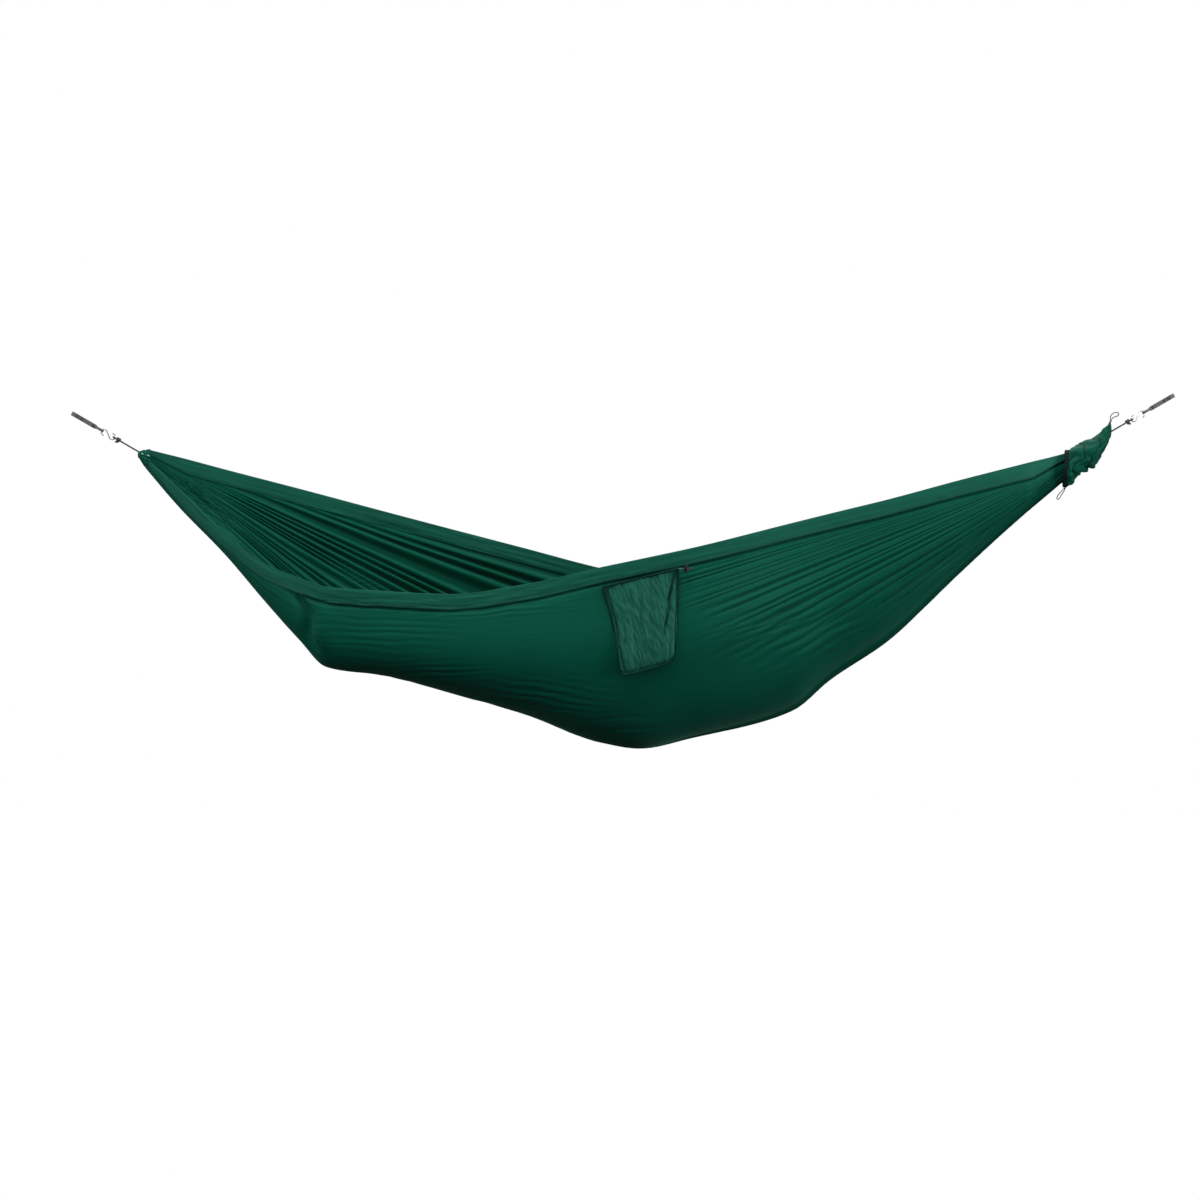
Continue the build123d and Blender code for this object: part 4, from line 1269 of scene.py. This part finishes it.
def sleeve_tube():
    """Bunched sleeve: ellipses along its bend, crumpled into slanting rolls with creased valleys and dents,
    drawn to a pleated pucker round the cord at the neck.
    """
    body, pucker = np.linspace(0, 1, 190), np.linspace(0, 1, 16)[1:]
    start, neck = SLEEVE[0, 0] - 6 * MM, SLEEVE[-1, 0]
    x = np.concatenate([start + (neck - start) * body, neck + 0.004 * np.sin(pucker * 1.4)])
    inside = np.clip(x, SLEEVE[0, 0], SLEEVE[-1, 0])
    z, wide, tall = (monotone(inside, SLEEVE[:, 0], SLEEVE[:, k]) for k in (1, 2, 3))
    closing = np.concatenate([np.ones(len(body)), 1 - 0.84 * pucker ** 1.3])
    share = np.concatenate([body, 1 + 0.08 * pucker])
    s, turn = crossings(share, circle(240))
    around_x, around_y = np.cos(turn), np.sin(turn)
    slant = 0.55 * rolling(around_x + 2, around_y + 2 + s, 1.1, 0.9, 81) + 0.16 * around_y
    rolls = np.abs(np.sin(math.pi * (3.3 * s + 1.7 * slant + 0.15)))
    dents = rolling(around_x + 3, around_y + 3 + 1.8 * s, 0.75, 0.7, 83)
    creases = np.abs(rolling(around_x * 1.4 + 4, around_y * 1.4 + 4 + 3.4 * s, 0.8, 0.7, 84))
    fine = rolling(around_x * 5 + 8, around_y * 5 + 8 + 12 * s, 0.7, 0.6, 85)
    grip = rise(s, 0.05, 0.06)
    low = np.clip(-around_y, 0, 1) ** 2
    steps = low * ((6.2 * s + 0.3 * slant) % 1.0 - 0.5)
    crumple = 0.13 * (np.sqrt(rolls) - 0.85) + 0.12 * dents + 0.13 * (np.sqrt(creases) - 0.55)
    crumple = (crumple * (0.7 + 0.4 * low) + 0.010 * fine + 0.20 * steps) * (0.15 + 0.85 * grip)
    pleats = 0.16 * np.abs(np.sin(7 * turn + 2 * slant)) * rise(s, 0.86, 0.12)
    size = closing[:, None] * (0.955 + crumple - pleats)
    size = np.minimum(size, 1.05)
    push = 0.006 * rolling(around_x + 5, around_y + 5 + 3 * s, 0.5, 0.5, 86) * grip
    points = np.stack([x[:, None] + push * (1 - rise(s, 0.9, 0.1)),
                       wide[:, None] * size * around_x,
                       z[:, None] + tall[:, None] * size * around_y], -1)
    uv = np.stack([s * 0.17, turn * 0.045], -1)
    # fold darkens the roll valleys, the creases and the dents: painted shade.
    fold = np.clip(1.1 - 2.6 * rolls, 0, 1) * 0.95 + np.clip(0.40 - 3 * creases, 0, 0.40)
    piece = skin("sleeve_cloth", points, sleeve_green, uv, wrap=True,
                 marks={"fold": np.clip(fold + 0.4 * np.clip(-dents, 0, 1), 0, 1), "crush": 1.0}, flip=True)
    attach(piece, "sleeve")
    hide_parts("sleeve_tube")


def sleeve_cuff():
    """Elastic cuff: a flat ring with two raised rolls, ruffled all round."""
    x, z, wide, tall = SLEEVE[0]
    turn, loop = crossings(circle(420), circle(20))
    ruffle = np.cos(34 * turn + 1.5 * rolling(np.cos(turn) + 2, np.sin(turn) + 2, 0.5, 0.5, 91))
    across = signed_power(np.cos(loop), 0.6) * 6 * MM
    rolls = 1 - 0.45 * bell(across, 0.0016)
    thick = signed_power(np.sin(loop), 0.8) * 1.7 * MM * rolls
    out = thick + 0.7 * MM * ruffle * (0.4 + 0.6 * np.abs(np.cos(loop)))
    lean = 0.0030 * np.sin(turn) - 0.0025 * np.cos(turn) ** 2 * (turn > math.pi)
    points = np.stack([x - 6 * MM + across + lean, (wide - 1.8 * MM + out) * np.cos(turn),
                       z + (tall - 1.8 * MM + out) * np.sin(turn)], -1)
    uv = np.stack([turn * 0.048, loop * 0.004], -1)
    piece = skin("sleeve_cuff_elastic", points, elastic, uv, wrap=True, ring=True)
    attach(piece, "sleeve")
    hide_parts("sleeve_cuff")


def sleeve_loops():
    """Loop at the sleeve's neck and the cuff's tail loop: thin braided cord on a smooth route."""
    for name, route, length, lay in (("sleeve_neck_loop", SLEEVE_NECK_ROUTE, 0.081, "loose"),
                                     ("cuff_tail_loop", CUFF_TAIL_ROUTE, 0.086, "hanging")):
        line = respaced(spline_line(name, route), 0.00035)
        points, uv = braided(line, SLEEVE_CORD_R, around=16)
        piece = skin(f"{name}_braid", points, cord_black, uv, wrap=True, caps=True)
        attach(piece, "sleeve")
        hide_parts(name)


LOCK_X, LOCK_Z = 1684.5 * MM, -0.4248
SPRING_R, SPRING_WIRE_R, SPRING_FOOT, SPRING_TALL, SPRING_TURNS = 3.2 * MM, 0.4 * MM, -7.3 * MM, 3.6 * MM, 4


def lock_spring():
    """Coil under the lock's button: a round wire on a helix, which the button presses onto the floor."""
    turn = np.linspace(0, SPRING_TURNS * TAU, 240)
    centre = hem_point(0) * (0, 1, 0) + np.array([LOCK_X, 0, LOCK_Z])
    coil = centre + np.stack([SPRING_R * np.cos(turn), SPRING_R * np.sin(turn),
                              SPRING_FOOT + SPRING_TALL * turn / (SPRING_TURNS * TAU)], -1)
    points, uv, _ = rolled_tube(coil, SPRING_WIRE_R, 10, 1.0, 0.0)
    spring = skin("cord_lock_spring_coil", points, spring_steel, uv, wrap=True, caps=True)
    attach(spring, "cord_lock")
    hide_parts("cord_lock_spring")
    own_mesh(spring)


def finish_cad_nodes():
    """Finishes of the metal and plastic pieces that keep their own shape."""
    finishes = {"s_hook_left": bright_steel, "s_hook_right": bright_steel,
                "cord_lock_barrel": black_plastic, "cord_lock_button": black_plastic}
    for name, material in finishes.items():
        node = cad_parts[name]
        node.data.materials.clear()
        node.data.materials.append(material)


for side in ENDS:
    end_channel(side)
    strap(side)
    suspension(side)
channel_tacks()
pocket_front()
pocket_back()
pocket_trim()
sleeve_tube()
sleeve_cuff()
sleeve_loops()
lock_spring()
finish_cad_nodes()
